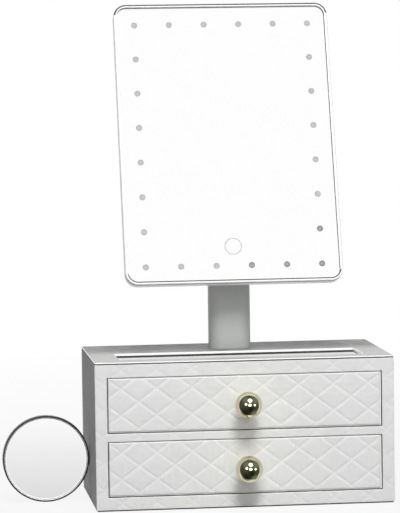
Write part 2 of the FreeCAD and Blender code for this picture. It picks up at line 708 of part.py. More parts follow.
def make_knob(label, centre):
    """A ball, its neck and its foot, turned from one bar about the screw's axis."""
    knob = Piece(label)
    outline = knob.outline("YZ", "0")
    ball_middle = FreeCAD.Vector(-number("ball_reach"), 0, 0)
    ball = Part.Circle(ball_middle, FreeCAD.Vector(0, 0, 1), number("ball_round"))
    neck_angle = math.asin(number("neck_round/ball_round"))
    arc = outline.sketch.addGeometry(Part.ArcOfCircle(ball, neck_angle, math.pi))
    outline.pin_down(arc, 3, "-ball_reach", "0")
    outline.fix("DistanceY", arc, 1, "neck_round")
    outline.fix("DistanceX", arc, 2, "-ball_reach - ball_round")
    outline.fix("DistanceY", arc, 2, "0")
    corners = [
        ("-knob_thread", "0"), ("-knob_thread", "hole_round"), ("0", "hole_round"),
        ("0", "rose_round"), ("-rose_thick", "rose_round - rose_thick"),
        ("-rose_thick", "neck_round"),
    ]
    points = [outline.sketch.getPoint(arc, 2)]
    points += [FreeCAD.Vector(number(along), number(out), 0) for along, out in corners]
    points.append(outline.sketch.getPoint(arc, 1))
    lines = []
    for start, end in zip(points, points[1:]):
        lines.append(outline.sketch.addGeometry(Part.LineSegment(start, end)))
    chain = [arc] + lines + [arc]
    for before, after in zip(chain, chain[1:]):
        outline.sketch.addConstraint(Sketcher.Constraint("Coincident", before, 2, after, 1))
    for line, (along, out) in zip(lines, corners):
        outline.pin_down(line, 2, along, out)
    turned = knob.body.newObject("PartDesign::Revolution", label + "_turned")
    turned.Profile = outline.sketch
    turned.ReferenceAxis = (outline.sketch, ["H_Axis"])
    turned.Angle = 360
    bind(knob.body, "Placement.Base.y", "-half_deep")
    bind(knob.body, "Placement.Base.z", centre)
    doc.recompute()


# ----------------------------------------------------------------------- stem

def stem_ring(piece, low, high):
    outline = piece.outline("XY", low)
    outline.rounded("stem_wide", "stem_deep", "stem_corner", up="stem_back")
    outline.rounded("stem_wide - 2*stem_wall", "stem_deep - 2*stem_wall",
                    "stem_corner - stem_wall", up="stem_back")
    piece.pad(outline, f"({high}) - ({low})")


def stem_filler(piece, low, high):
    """A solid that fits inside the stem shells."""
    outline = piece.outline("XY", low)
    outline.rounded("stem_wide - 2*stem_wall - 2*fit_gap", "stem_deep - 2*stem_wall - 2*fit_gap",
                    "stem_corner - stem_wall - fit_gap", up="stem_back")
    piece.pad(outline, f"({high}) - ({low})")


SHELL_SCREWS = ("foot_screw_up", "plug_screw_up")
SHELL_SCREW_LONG = "plate_low - bay_roof - screw_head_tall + plate_thick + foot_tall"
WHOLE_STEM = ("-stem_wide", "stem_wide")


def make_stem():
    across = WHOLE_STEM
    ends = ("box_tall", "stem_top")
    front_shell = Piece("stem_front_shell")
    stem_ring(front_shell, *ends)
    front_shell.box(across, ("stem_back", "stem_back + stem_deep"), ends, cut=True)

    rear_shell = Piece("stem_rear_shell")
    stem_ring(rear_shell, *ends)
    rear_shell.box(across, ("stem_back - stem_deep", "stem_back"), ends, cut=True)
    rear_shell.box(
        ("-door_wide/2 - door_gap", "door_wide/2 + door_gap"),
        ("stem_back", "stem_back + stem_deep"),
        ("door_low - door_gap", "door_low + door_tall + door_gap"), cut=True,
    )
    for height in SHELL_SCREWS:
        rear_shell.cylinder("Y", ("0", "stem_back", height), "hole_round", "stem_deep", cut=True)

    door = Piece("battery_door")
    stem_ring(door, "door_low", "door_low + door_tall")
    height = ("door_low", "door_low + door_tall")
    door.box(across, ("stem_back - stem_deep", "stem_back + door_gap"), height, cut=True)
    depth = ("stem_back", "stem_back + stem_deep")
    door.box(("-stem_wide", "-door_wide/2"), depth, height, cut=True)
    door.box(("door_wide/2", "stem_wide"), depth, height, cut=True)

    foot = Piece("stem_foot")
    stem_filler(foot, "box_tall", "foot_top")
    for side in ("-", ""):
        foot.cylinder("Z", (f"{side}foot_screw_across", "stem_back", "box_tall"), "hole_round",
                      "foot_tall", cut=True)
    foot.cylinder("Y", ("0", "stem_back", SHELL_SCREWS[0]), "hole_round", "stem_deep", cut=True)

    make_hinge_head()
    make_stem_screws()


def make_hinge_head():
    """The cap of the stem, with the knuckle that carries the mirror."""
    head = Piece("hinge_head")
    stem_filler(head, "plug_low", "stem_top")
    cap = head.outline("XY", "stem_top")
    cap.rounded("stem_wide", "stem_deep", "stem_corner", up="stem_back")
    head.pad(cap, "cap_thick")
    head.box(("-knuckle_wide/2", "knuckle_wide/2"),
             ("hinge_back - knuckle_round", "hinge_back + knuckle_round"),
             ("stem_top", "hinge_high"))
    head.cylinder("X", ("-knuckle_wide/2", "hinge_back", "hinge_high"), "knuckle_round",
                  "knuckle_wide")
    head.cylinder("X", ("-knuckle_wide/2", "hinge_back", "hinge_high"), "pin_round + hole_gap",
                  "knuckle_wide", cut=True)
    head.cylinder("Y", ("0", "stem_back", SHELL_SCREWS[1]), "hole_round", "stem_deep", cut=True)


def make_stem_screws():
    """Two screws up into the foot and two through the rear shell, all alike."""
    screws = []
    for side in ("-", ""):
        at = (f"{side}foot_screw_across", "stem_back", "bay_roof + screw_head_tall")
        screws.append(screw("foot_screw", "Z", at, 1, "screw_round", SHELL_SCREW_LONG,
                            "screw_head_round", "screw_head_tall"))
    for height in SHELL_SCREWS:
        at = ("0", "stem_back + stem_deep/2", height)
        screws.append(screw("shell_screw", "Y", at, -1, "screw_round",
                            "stem_deep/2 - 2*hole_gap",
                            "screw_head_round", "screw_head_tall"))
    group("stem_screws", screws)


def make_batteries():
    """Four cells in two columns, their cradle and their contacts."""
    cells = []
    contacts = []
    for side in ("-", ""):
        across = f"{side}cell_across"
        for layer in (0, 1):
            low = f"foot_top + contact_room + {layer}*cell_long"
            cells.append(loose("Part::Cylinder", "cell", (across, "stem_back", low),
                               Radius="cell_round", Height="cell_long"))
        ends = (
            ("foot_top", "foot_top + contact_thick"),
            ("plug_low - contact_thick", "plug_low - contact_room"),
        )
        for plate_low, spring_low in ends:
            plate = loose("Part::Cylinder", "plate", (across, "stem_back", plate_low),
                          Radius="contact_round", Height="contact_thick")
            spring = loose("Part::Cylinder", "spring", (across, "stem_back", spring_low),
                           Radius="spring_round", Height="contact_room - contact_thick")
            contacts.append(fuse("contact", [plate, spring]))
    group("battery_cells", cells)
    group("battery_contacts", contacts)

    cradle = Piece("battery_cradle")
    ends = ("foot_top", "plug_low")
    wall = "(stem_back - cell_round - fit_gap)"
    front = f"({wall} - cradle_thick)"
    cradle.box(("-cradle_edge", "cradle_edge"), (front, wall), ends)
    for low, high in (
        ("-cradle_edge - cradle_side", "-cradle_edge"),
        ("cradle_edge", "cradle_edge + cradle_side"),
    ):
        cradle.box((low, high), (front, "stem_back"), ends)
    spine = ("stem_back - stem_deep/2 + stem_wall", front)
    cradle.box(("-cradle_thick", "cradle_thick"), spine, ends)


# ---------------------------------------------------------------- mirror head

def window_places():
    """The middles of the lights: six along the top and bottom, eight up each side."""
    places = []
    for column in range(-5, 6, 2):
        for row in (-7, 7):
            places.append((f"{column}/2*light_pitch_across", f"{row}/2*light_pitch_up - lights_low"))
    for row in range(-5, 6, 2):
        for column in (-5, 5):
            places.append((f"{column}/2*light_pitch_across", f"{row}/2*light_pitch_up - lights_low"))
    return places


BOSSES = [
    (f"{side}boss_across", height)
    for side in ("-", "") for height in ("-boss_up", "0", "boss_up")
]
BRACKET_HOLES = [
    (f"{side}bracket_hole_across", f"{end}bracket_hole_up - axis_below")
    for side in ("-", "") for end in ("-", "")
]
GLASS = ("head_wide - 2*bezel_wall - 2*glass_gap", "head_tall - 2*bezel_wall - 2*glass_gap",
         "head_corner - bezel_wall - glass_gap")


def head_outline(piece, level, inset):
    outline = piece.outline("XZ", level)
    outline.rounded(f"head_wide - 2*({inset})", f"head_tall - 2*({inset})",
                    f"head_corner - ({inset})")
    return outline


def make_bezel():
    bezel = Piece("front_bezel")
    wall = head_outline(bezel, "-bezel_proud", "0")
    wall.rounded("head_wide - 2*bezel_wall", "head_tall - 2*bezel_wall",
                 "head_corner - bezel_wall")
    bezel.pad(wall, "bezel_deep + bezel_proud")
    lip = head_outline(bezel, "-bezel_proud", "0")
    lip.rounded("head_wide - 2*bezel_lip", "head_tall - 2*bezel_lip", "head_corner - bezel_lip")
    bezel.pad(lip, "bezel_proud")
    front_face = -number("bezel_proud")
    lip_wide = number("head_wide/2 - bezel_lip")
    lip_tall = number("head_tall/2 - bezel_lip")

    def on_outline(edge):
        at = middle(edge)
        outside = max(abs(at.x) - lip_wide, abs(at.z) - lip_tall)
        return abs(at.y - front_face) < NEAR and outside > NEAR

    bezel.fillet(on_outline, "bezel_edge")
    for across, up in BOSSES:
        at = (across, "silver_back", up)
        bezel.cylinder("Y", at, "boss_round", "cover_inside - silver_back")
        bezel.cylinder("Y", at, "small_screw_round + hole_gap", "cover_inside - silver_back",
                       cut=True)
    return bezel.body


def make_glass():
    """The pane, its silvering with the light windows left out, and the frosting."""
    pane = Piece("glass_pane")
    outline = pane.outline("XZ", "0")
    outline.rounded(*GLASS)
    pane.pad(outline, "glass_thick")

    silver = Piece("silver_coating")
    outline = silver.outline("XZ", "glass_thick")
    outline.rounded(*GLASS)
    for across, up in window_places():
        outline.circle(across, up, "window_round + window_gap")
    outline.circle("0", "-touch_below", "touch_round + window_gap")
    outline.circle("0", "-touch_below", "touch_round - touch_line - window_gap")
    silver.body.AllowCompound = True
    silver.pad(outline, "silver_thick")

    discs = []
    for across, up in window_places():
        disc = loose("Part::Cylinder", "window", (across, "glass_thick", up),
                     Radius="window_round", Height="silver_thick")
        discs.append(turn(disc, "Y"))
    touch = ("0", "glass_thick", "-touch_below")
    outer = turn(loose("Part::Cylinder", "mark", touch, Radius="touch_round",
                       Height="silver_thick"), "Y")
    inner = turn(loose("Part::Cylinder", "mark_hole", touch, Radius="touch_round - touch_line",
                       Height="silver_thick"), "Y")
    mark = cut("touch_mark", outer, inner)
    return pane.body, silver.body, group("frosted_windows", discs + [mark])


def make_lights():
    light_board = Piece("light_board")
    outline = light_board.outline("XZ", "light_board_front")
    outline.rounded("light_board_wide", "light_board_tall", "head_corner - bezel_wall")
    outline.rectangle(
        "light_board_band - light_board_wide/2", "light_board_wide/2 - light_board_band",
        "light_board_band - light_board_tall/2", "light_board_tall/2 - light_board_band",
    )
    light_board.pad(outline, "light_board_thick")

    chips = []
    for across, up in window_places():
        at = (f"{across} - chip_wide/2", "light_board_front - chip_thick", f"{up} - chip_tall/2")
        chips.append(loose("Part::Box", "chip", at, Length="chip_wide", Width="chip_thick",
                           Height="chip_tall"))
    led_chips = group("led_chips", chips)

    # The control board is soldered to the lower edge of the light board, with
    # the touch sensor's spring on its front and its parts on its back.
    control = Piece("control_board")
    low = "light_board_band - light_board_tall/2"
    front = "light_board_front"
    back = "light_board_front + light_board_thick"
    high = "-touch_below + control_rise"
    control.box(("-control_wide/2", "control_wide/2"), (front, back), (low, high))
    control.cylinder("Y", ("0", "silver_back", "-touch_below"), "sensor_round",
                     "light_board_front - silver_back")
    for across in ("-2*control_part_wide", "control_part_wide"):
        control.box((across, f"{across} + control_part_wide"),
                    (back, f"{back} + control_part_deep"),
                    ("-touch_below - control_part_wide/2", "-touch_below + control_part_wide/2"))
    return light_board.body, led_chips, control.body


def make_rear_cover():
    cover = Piece("rear_cover")
    cover.pad(head_outline(cover, "bezel_deep", "0"), "head_thick - bezel_deep")
    back_face = number("head_thick")
    cover.fillet(lambda edge: abs(middle(edge).y - back_face) < NEAR, "cover_edge")
    cover.pocket(head_outline(cover, "bezel_deep", "bezel_wall"), "cover_inside - bezel_deep")
    for across, up in BOSSES:
        cover.cylinder("Y", (across, "bezel_deep", up), "boss_round + hole_gap",
                       "cover_inside - bezel_deep", cut=True)
        cover.cylinder("Y", (across, "cover_inside", up), "small_screw_round + hole_gap",
                       "cover_thick", cut=True)
        cover.cylinder("Y", (across, "head_thick - small_head_tall", up),
                       "small_head_round + hole_gap", "small_head_tall", cut=True)
    for across, up in BRACKET_HOLES:
        cover.cylinder("Y", (across, "cover_inside", up), "small_screw_round + hole_gap",
                       "cover_thick", cut=True)
    thickness = ("cover_inside", "head_thick")
    height = "-socket_below"
    cover.box(
        ("socket_across - inlet_wide/2 - hole_gap", "socket_across + inlet_wide/2 + hole_gap"),
        thickness,
        (f"{height} - inlet_tall/2 - hole_gap", f"{height} + inlet_tall/2 + hole_gap"), cut=True,
    )
    cover.box(
        ("-socket_across - slider_wide/2 - slot_gap",
         "-socket_across + slider_wide/2 + slider_travel + slot_gap"),
        thickness,
        (f"{height} - slider_tall/2 - slot_gap", f"{height} + slider_tall/2 + slot_gap"),
        cut=True,
    )

    screws = []
    for across, up in BOSSES:
        at = (across, "head_thick - small_head_tall", up)
        screws.append(screw("cover_screw", "Y", at, -1, "small_screw_round",
                            "cover_screw_long", "small_head_round",
                            "small_head_tall"))
    return cover.body, group("rear_cover_screws", screws)


def make_bracket():
    """The bracket on the rear cover, with two ears on the hinge pin."""
    bracket = Piece("hinge_bracket")
    height = ("-axis_below - bracket_tall/2", "-axis_below + bracket_tall/2")
    bracket.box(("-bracket_wide/2", "bracket_wide/2"), ("head_thick", "bracket_back"), height)
    for low, high in (("-ear_outside", "-ear_inside"), ("ear_inside", "ear_outside")):
        bracket.box((low, high), ("head_thick", "axis_behind"),
                    ("-axis_below - ear_round", "-axis_below + ear_round"))
        at = (low, "axis_behind", "-axis_below")
        bracket.cylinder("X", at, "ear_round", "ear_thick")
        bracket.cylinder("X", at, "pin_round + hole_gap", "ear_thick", cut=True)
    for across, up in BRACKET_HOLES:
        bracket.cylinder("Y", (across, "head_thick", up), "small_screw_round + hole_gap",
                         "bracket_thick", cut=True)

    screws = []
    for across, up in BRACKET_HOLES:
        at = (across, "bracket_back", up)
        screws.append(screw("bracket_screw", "Y", at, -1, "small_screw_round",
                            "bracket_screw_long", "small_head_round",
                            "small_head_tall"))
    return bracket.body, group("bracket_screws", screws)


def make_pin():
    """The hinge pin, its nut and the two friction washers."""
    axis = ("axis_behind", "-axis_below")
    pin = Piece("hinge_pin")
    pin.cylinder("X", ("-ear_outside - pin_head_thick", *axis), "pin_head_round",
                 "pin_head_thick")
    pin.cylinder("X", ("-ear_outside", *axis), "pin_round", "2*ear_outside + nut_thick")

    nut = doc.addObject("Part::Prism", "hinge_nut")
    nut.Label = "hinge_nut_blank"
    nut.Polygon = 6
    bind(nut, "Circumradius", "nut_across/sqrt(3)")
    bind(nut, "Height", "nut_thick")
    hole = loose("Part::Cylinder", "nut_hole", ("ear_outside", *axis),
                 Radius="pin_round + hole_gap", Height="nut_thick")
    for name, formula in zip("xyz", ("ear_outside", *axis)):
        bind(nut, f"Placement.Base.{name}", formula)
    bored = cut("hinge_nut_bored", turn(nut, "X"), turn(hole, "X"))
    bored.Label = "hinge_nut"
    Piece.made.append(bored)

    washers = []
    for start in ("-ear_inside + washer_gap", "ear_inside - washer_gap - washer_thick"):
        disc = loose("Part::Cylinder", "washer", (start, *axis), Radius="washer_round",
                     Height="washer_thick")
        bore = loose("Part::Cylinder", "washer_bore", (start, *axis),
                     Radius="pin_round + hole_gap", Height="washer_thick")
        washers.append(cut("washer", turn(disc, "X"), turn(bore, "X")))
    return pin.body, bored, group("hinge_washers", washers)


def make_sockets():
    """The power inlet and the sliding switch, side by side in the rear cover."""
    inlet = Piece("power_inlet")
    height = "-socket_below"
    mouth = "(head_thick - inlet_deep)"
    inlet.box(("socket_across - inlet_wide/2", "socket_across + inlet_wide/2"),
              (mouth, "head_thick"), (f"{height} - inlet_tall/2", f"{height} + inlet_tall/2"))
    inlet.box(("socket_across - inlet_wide/2 + inlet_wall",
               "socket_across + inlet_wide/2 - inlet_wall"),
              (f"{mouth} + inlet_wall", "head_thick"),
              (f"{height} - inlet_tall/2 + inlet_wall", f"{height} + inlet_tall/2 - inlet_wall"),
              cut=True)
    inlet.box(("socket_across - inlet_wide/4", "socket_across + inlet_wide/4"),
              (f"{mouth} + inlet_wall", "head_thick - inlet_wall"),
              (f"{height} - inlet_wall/2", f"{height} + inlet_wall/2"))

    slider = Piece("switch_slider")
    left = "(-socket_across - slider_wide/2)"
    right = "(-socket_across + slider_wide/2)"
    slider.box((left, right), ("cover_inside - hole_gap", "head_thick + slider_proud"),
               (f"{height} - slider_tall/2", f"{height} + slider_tall/2"))
    slider.box((f"{left} - slider_flange", f"{right} + slider_flange"),
               ("cover_inside - hole_gap - cover_thick/2", "cover_inside - hole_gap"),
               (f"{height} - slider_tall/2 - slider_flange",
                f"{height} + slider_tall/2 + slider_flange"))
    return inlet.body, slider.body


def place_head(items):
    """Lean the mirror head back on its hinge."""
    for item in items:
        item.Placement = FreeCAD.Placement(
            FreeCAD.Vector(), FreeCAD.Rotation(FreeCAD.Vector(1, 0, 0), -number("lean"))
        )
        bind(item, "Placement.Base.y",
             "hinge_back - axis_behind*cos(lean) + axis_below*sin(lean)")
        bind(item, "Placement.Base.z",
             "hinge_high + axis_behind*sin(lean) + axis_below*cos(lean)")


def make_mirror_head():
    items = [make_bezel()]
    for maker in (make_glass, make_lights, make_rear_cover, make_bracket, make_pin, make_sockets):
        items.extend(maker())
    place_head(items)


# ------------------------------------------------------------ magnifying mirror

def make_magnifier():
    """A round mirror that stands on its rim beside the cabinet."""
    centre = ("disc_across", "disc_round")
    front = "(-disc_deep/2)"
    inner = "(disc_round - disc_rim)"

    rim = Piece("magnifier_rim")
    outline = rim.outline("XZ", front)
    outline.circle(*centre, "disc_round")
    outline.circle(*centre, inner)
    rim.pad(outline, "disc_rim_deep")

    glass = Piece("magnifier_glass")
    outline = glass.outline("XZ", f"{front} + disc_glass_sunk")
    outline.circle(*centre, f"{inner} - disc_fit")
    glass.pad(outline, "disc_glass_thick")
    ball = f"(({inner})^2/disc_dish/2)"
    glass.sphere(("disc_across", f"{front} + disc_glass_sunk + disc_dish - {ball}", "disc_round"),
                 ball, cut=True)

    back = Piece("magnifier_back")
    outline = back.outline("XZ", "disc_glass_back")
    outline.circle(*centre, f"{inner} - disc_fit")
    back.pad(outline, f"{front} + disc_rim_deep - disc_glass_back")
    cover = back.outline("XZ", f"{front} + disc_rim_deep")
    cover.circle(*centre, "disc_round")
    back.pad(cover, "disc_deep - disc_rim_deep")
    rear = number("disc_back")
    back.fillet(lambda edge: abs(middle(edge).y - rear) < NEAR, "disc_rim")

    cup = Piece("suction_cup")
    cup.cylinder("Y", ("disc_across", "disc_back", "disc_round"), "cup_neck_round",
                 "cup_neck_long")
    at = ("disc_across", "disc_back + cup_neck_long", "disc_round")
    cup.cone("Y", at, "cup_neck_round", "cup_round", "cup_deep")
    at = ("disc_across", "disc_back + cup_neck_long + cup_wall", "disc_round")
    cup.cone("Y", at, "cup_neck_round/2", "cup_round - cup_wall/2", "cup_deep - cup_wall",
             cut=True)


# ---------------------------------------------------------------------- build

make_carcass()
make_drawer("lower", "lower_bay")
make_drawer("upper", "upper_bay")
make_stem()
make_batteries()
make_mirror_head()
make_magnifier()
doc.recompute()

for item in doc.Objects:
    if {"Invalid", "Error"} & set(item.State):
        raise RuntimeError(f"{item.Label} failed: {item.State}")
for item in Piece.made:
    shape = item.Shape
    if shape.isNull() or not shape.isValid() or not shape.Solids:
        raise RuntimeError(f"{item.Label} has no valid solid")

os.makedirs("parts", exist_ok=True)
for item in Piece.made:
    item.Shape.exportStep(f"parts/{item.Label}.step")
print(len(Piece.made), "pieces written")
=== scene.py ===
import math

import bmesh
import bpy
import numpy as np
from mathutils import Matrix, Vector


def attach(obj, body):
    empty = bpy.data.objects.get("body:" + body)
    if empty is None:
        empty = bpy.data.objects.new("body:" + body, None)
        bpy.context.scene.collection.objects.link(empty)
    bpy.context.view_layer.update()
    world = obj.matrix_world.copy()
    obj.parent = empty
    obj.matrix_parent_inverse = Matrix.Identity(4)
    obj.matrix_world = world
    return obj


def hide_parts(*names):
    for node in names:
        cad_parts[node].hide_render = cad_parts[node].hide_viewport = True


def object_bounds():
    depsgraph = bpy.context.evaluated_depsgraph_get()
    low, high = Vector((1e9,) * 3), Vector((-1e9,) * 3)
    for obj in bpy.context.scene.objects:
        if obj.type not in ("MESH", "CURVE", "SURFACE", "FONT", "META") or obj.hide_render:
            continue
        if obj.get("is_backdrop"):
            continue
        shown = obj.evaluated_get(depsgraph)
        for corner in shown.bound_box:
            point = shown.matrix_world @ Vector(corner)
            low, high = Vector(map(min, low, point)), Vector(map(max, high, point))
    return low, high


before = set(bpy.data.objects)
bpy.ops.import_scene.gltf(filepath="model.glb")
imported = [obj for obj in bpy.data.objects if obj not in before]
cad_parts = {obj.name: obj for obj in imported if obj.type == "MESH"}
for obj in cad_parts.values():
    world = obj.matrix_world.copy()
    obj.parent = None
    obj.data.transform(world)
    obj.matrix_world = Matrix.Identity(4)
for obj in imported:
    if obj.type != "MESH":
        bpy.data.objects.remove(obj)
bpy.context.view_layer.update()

MM = 0.001

# ------------------------------------------------------------------ sizes, mm

BOX_WIDE = 300.0
BOX_DEEP = 160.0
FRONT = -BOX_DEEP / 2
LEATHER = 1.2
LEATHER_LOW = 1.0
BAY_SIDE = 138.0
BAYS = {"lower": (13.5, 69.3), "upper": (77.3, 133.1)}
PLATE_LOW = 146.3
PLATE_TOP = 148.5
TRAY_WIDE = 246.0
TRAY_DEEP = 56.0
TRAY_CORNER = 2.0
TRAY_MIDDLE = -29.0
TRAY_FLOOR = 144.2

# the quilting's diamonds, and how far their middle lies above a drawer's
QUILT_WIDE = 35.5
QUILT_TALL = 26.6
QUILT_RISE = 3.5
# how far the leather's stitch lines lie behind the plane of the front
PADDING_SUNK = 0.35
GRID_STEP = 0.7
SEAM_LAYER = "seam"

HEAD_WIDE = 223.0
HEAD_TALL = 298.0
HEAD_CORNER = 13.0
HEAD_TILT = -18.5
HEAD_PLACE = (0.0, 30.63, 360.97)
head_matrix = Matrix.Translation(Vector(HEAD_PLACE)) @ Matrix.Rotation(
    math.radians(HEAD_TILT), 4, "X"
)

# measured on the head, about the middle of its front
LIGHT_PITCH = (36.13, 36.81)
LIGHTS_LOW = 1.8
LIGHT_ROUND = 3.1
TOUCH_LOW = 110.5
SILVER_FRONT = 3.0

KNOB_BALL = 13.5
KNOB_REACH = 23.0

MAGNIFIER_ROUND = 44.0
MAGNIFIER_GAP = 0.3
MAGNIFIER = (-BOX_WIDE / 2 - MAGNIFIER_GAP - MAGNIFIER_ROUND, MAGNIFIER_ROUND)

# the camera that was fitted to the photograph's corners and lights; degrees for the angles
CAMERA_PLACE = Vector((-387.0, -2916.0, 467.0))
CAMERA_YAW = 6.905
CAMERA_PITCH = 4.31
CAMERA_ROLL = 0.78
CAMERA_LENS = 203.4


# ------------------------------------------------------------------ materials

def add_node(tree, kind, **values):
    """A shader node; each value goes to the input of that name, with _ for a space."""
    node = tree.nodes.new(kind)
    for socket, value in values.items():
        node.inputs[socket.replace("_", " ")].default_value = value
    return node


class Finish:
    """A Principled material and the pattern nodes that drive it."""

    def __init__(self, name, colour, roughness, metallic=0.0, **sockets):
        self.material = bpy.data.materials.new(name)
        self.material.use_nodes = True
        self.material.diffuse_color = (*colour, 1.0)
        self.tree = self.material.node_tree
        self.link = self.tree.links.new
        self.colour = colour
        self.shader = self.tree.nodes["Principled BSDF"]
        self.shader.inputs["Base Color"].default_value = (*colour, 1.0)
        self.shader.inputs["Roughness"].default_value = roughness
        self.shader.inputs["Metallic"].default_value = metallic
        for socket, value in sockets.items():
            self.shader.inputs[socket.replace("_", " ")].default_value = value
        self.place = add_node(self.tree, "ShaderNodeTexCoord").outputs["Object"]
        self.normal = None

    def noise(self, size, detail=2.0, stretch=(1.0, 1.0, 1.0), distortion=0.0):
        """A cloudy pattern whose blotches are about size millimetres across."""
        mapping = add_node(self.tree, "ShaderNodeMapping", Scale=stretch)
        node = add_node(self.tree, "ShaderNodeTexNoise", Scale=1.0 / (size * MM), Detail=detail,
                        Distortion=distortion)
        self.link(self.place, mapping.inputs["Vector"])
        self.link(mapping.outputs["Vector"], node.inputs["Vector"])
        return node.outputs["Fac"]

    def pebbles(self, size):
        """Rounded cells about size millimetres across, low in the middle of each."""
        node = add_node(self.tree, "ShaderNodeTexVoronoi", Scale=1.0 / (size * MM))
        node.feature = "SMOOTH_F1"
        self.link(self.place, node.inputs["Vector"])
        return node.outputs["Distance"]

    def along(self, axis, start, end):
        """0 to 1 between two places, in millimetres, along an axis of the piece."""
        node = add_node(self.tree, "ShaderNodeSeparateXYZ")
        self.link(self.place, node.inputs["Vector"])
        return self.ranged(node.outputs[axis], 0.0, 1.0, start * MM, end * MM)

    def ranged(self, source, low, high, start, end):
        """A source that runs from start to end, taken to between low and high."""
        node = add_node(self.tree, "ShaderNodeMapRange", From_Min=start, From_Max=end,
                        To_Min=low, To_Max=high)
        self.link(source, node.inputs["Value"])
        return node.outputs["Result"]

    def over(self, share, colour, way):
        """Another colour over the base colour, by a share of 0 to 1."""
        node = add_node(self.tree, "ShaderNodeMix")
        node.data_type = "RGBA"
        node.blend_type = way
        base = self.shader.inputs["Base Color"]
        if base.is_linked:
            self.link(base.links[0].from_socket, node.inputs["A"])
        else:
            node.inputs["A"].default_value = (*self.colour, 1.0)
        node.inputs["B"].default_value = (*colour, 1.0)
        self.link(share, node.inputs["Factor"])
        self.link(node.outputs["Result"], base)
        return self

    def tint(self, source, darker, start=0.3, end=0.7):
        """The base colour is darkened where source is low."""
        share = self.ranged(source, 1.0, 0.0, start, end)
        return self.over(share, (darker, darker, darker), "MULTIPLY")

    def patch(self, middle, radius, colour, soft):
        """A round patch of another colour about a place on the piece, in millimetres."""
        apart = add_node(self.tree, "ShaderNodeVectorMath")
        apart.operation = "DISTANCE"
        apart.inputs[1].default_value = middle * MM
        self.link(self.place, apart.inputs[0])
        edge = radius * MM
        share = self.ranged(apart.outputs["Value"], 1.0, 0.0, edge * (1 - soft), edge * (1 + soft))
        return self.over(share, colour, "MIX")

    def rough(self, source, low, high):
        """Roughness between low and high, by source."""
        self.link(self.ranged(source, low, high, 0.3, 0.7), self.shader.inputs["Roughness"])
        return self

    def bump(self, source, deep, strength):
        """The surface is raised by up to deep millimetres, by source."""
        node = add_node(self.tree, "ShaderNodeBump", Strength=strength, Distance=deep * MM)
        self.link(source, node.inputs["Height"])
        if self.normal is not None:
            self.link(self.normal, node.inputs["Normal"])
        self.normal = node.outputs["Normal"]
        self.link(self.normal, self.shader.inputs["Normal"])
        return self


def leather(name, colour, shine, streaks=False, seams=False):
    """Grained leather, with streaks up and down or with paler seams: thread, and a painted highlight
    along the seam lines.
    """
    finish = Finish(name, colour, 0.5, Specular_IOR_Level=shine)
    if seams:
        thread = add_node(finish.tree, "ShaderNodeAttribute")
        thread.attribute_name = SEAM_LAYER
        # the seams are painted paler: thread, and a painted highlight on the seam lines
        finish.tint(thread.outputs["Fac"], 0.89, 0.0, 1.0)
    finish.tint(finish.noise(38.0, 3.0), 0.965)
    finish.tint(finish.noise(6.0, 4.0, distortion=0.6), 0.955)
    grain = finish.pebbles(0.75)
    finish.tint(grain, 0.97, 0.0, 0.5)
    if streaks:
        finish.tint(finish.noise(7.0, stretch=(1.0, 1.0, 0.03)), 0.94)
    finish.rough(finish.noise(11.0), 0.46, 0.58)
    finish.bump(grain, 0.06, 0.5)
    return finish.bump(finish.noise(0.28, 3.0), 0.03, 0.5)


def plastic(name, colour, roughness, grain=0.35, deep=0.008, **sockets):
    """Moulded plastic with a grain that is fine and shallow unless the call says otherwise."""
    finish = Finish(name, colour, roughness, **sockets)
    finish.tint(finish.noise(45.0), 0.98)
    finish.rough(finish.noise(9.0), roughness * 0.85, roughness * 1.2)
    return finish.bump(finish.noise(grain), deep, 0.4)


def painted_shade_line(name, level):
    """A matt grey for thin lines of painted shade along an edge."""
    return plastic(name, (level, level + 0.005, level), 0.6, Specular_IOR_Level=0.0)


def metal(name, colour, roughness, deep=0.004):
    finish = Finish(name, colour, roughness, 1.0)
    finish.tint(finish.noise(6.0), 0.93)
    finish.rough(finish.noise(2.2, 3.0), roughness * 0.7, roughness * 1.4)
    return finish.bump(finish.noise(0.3), deep, 0.4)


def velvet(name, colour):
    finish = Finish(name, colour, 0.95, Sheen_Weight=0.5, Sheen_Roughness=0.4)
    finish.tint(finish.noise(14.0, 3.0), 0.93)
    finish.tint(finish.noise(0.5), 0.9)
    return finish.bump(finish.noise(0.45, 3.0), 0.25, 0.7)


def fibreboard():
    finish = Finish("paper_faced_board", (0.83, 0.83, 0.81), 0.7)
    finish.tint(finish.noise(22.0, 3.0), 0.97)
    finish.tint(finish.noise(0.8, 3.0, (0.25, 1.0, 1.0)), 0.95)
    return finish.bump(finish.noise(0.5, 3.0), 0.02, 0.5)


def frosted(name, level):
    """Silvering that was etched away, so that it reflects softly and less."""
    finish = Finish(name, (level, level * 1.01, level * 1.01), 0.5, 1.0)
    finish.tint(finish.noise(1.6, 3.0), 0.93)
    return finish.bump(finish.noise(0.4), 0.01, 0.3)


def silvering():
    finish = Finish("silvering", (0.995, 0.995, 0.992), 0.015, 1.0)
    return finish.tint(finish.noise(60.0), 0.998)


def clear_glass():
    finish = Finish("clear_glass", (0.998, 1.0, 0.999), 0.0, Transmission_Weight=1.0, IOR=1.45)
    return finish.tint(finish.noise(80.0), 0.999)


def clear_vinyl():
    finish = Finish("clear_vinyl", (0.85, 0.88, 0.9), 0.22, Transmission_Weight=0.55, IOR=1.45)
    finish.tint(finish.noise(9.0), 0.95)
    return finish.bump(finish.noise(1.5), 0.02, 0.3)


def magnifier_silvering_painted_shade():
    """Silvering with painted shade in its reflection, darker toward its lower edge."""
    finish = Finish("magnifier_mirror", (1.0, 1.0, 1.0), 0.03, 1.0)
    # painted shade in the reflection, toward the lower edge
    finish.tint(finish.along("Z", 0.0, 80.0), 0.76, 0.0, 1.0)
    return finish.tint(finish.noise(50.0), 0.99)


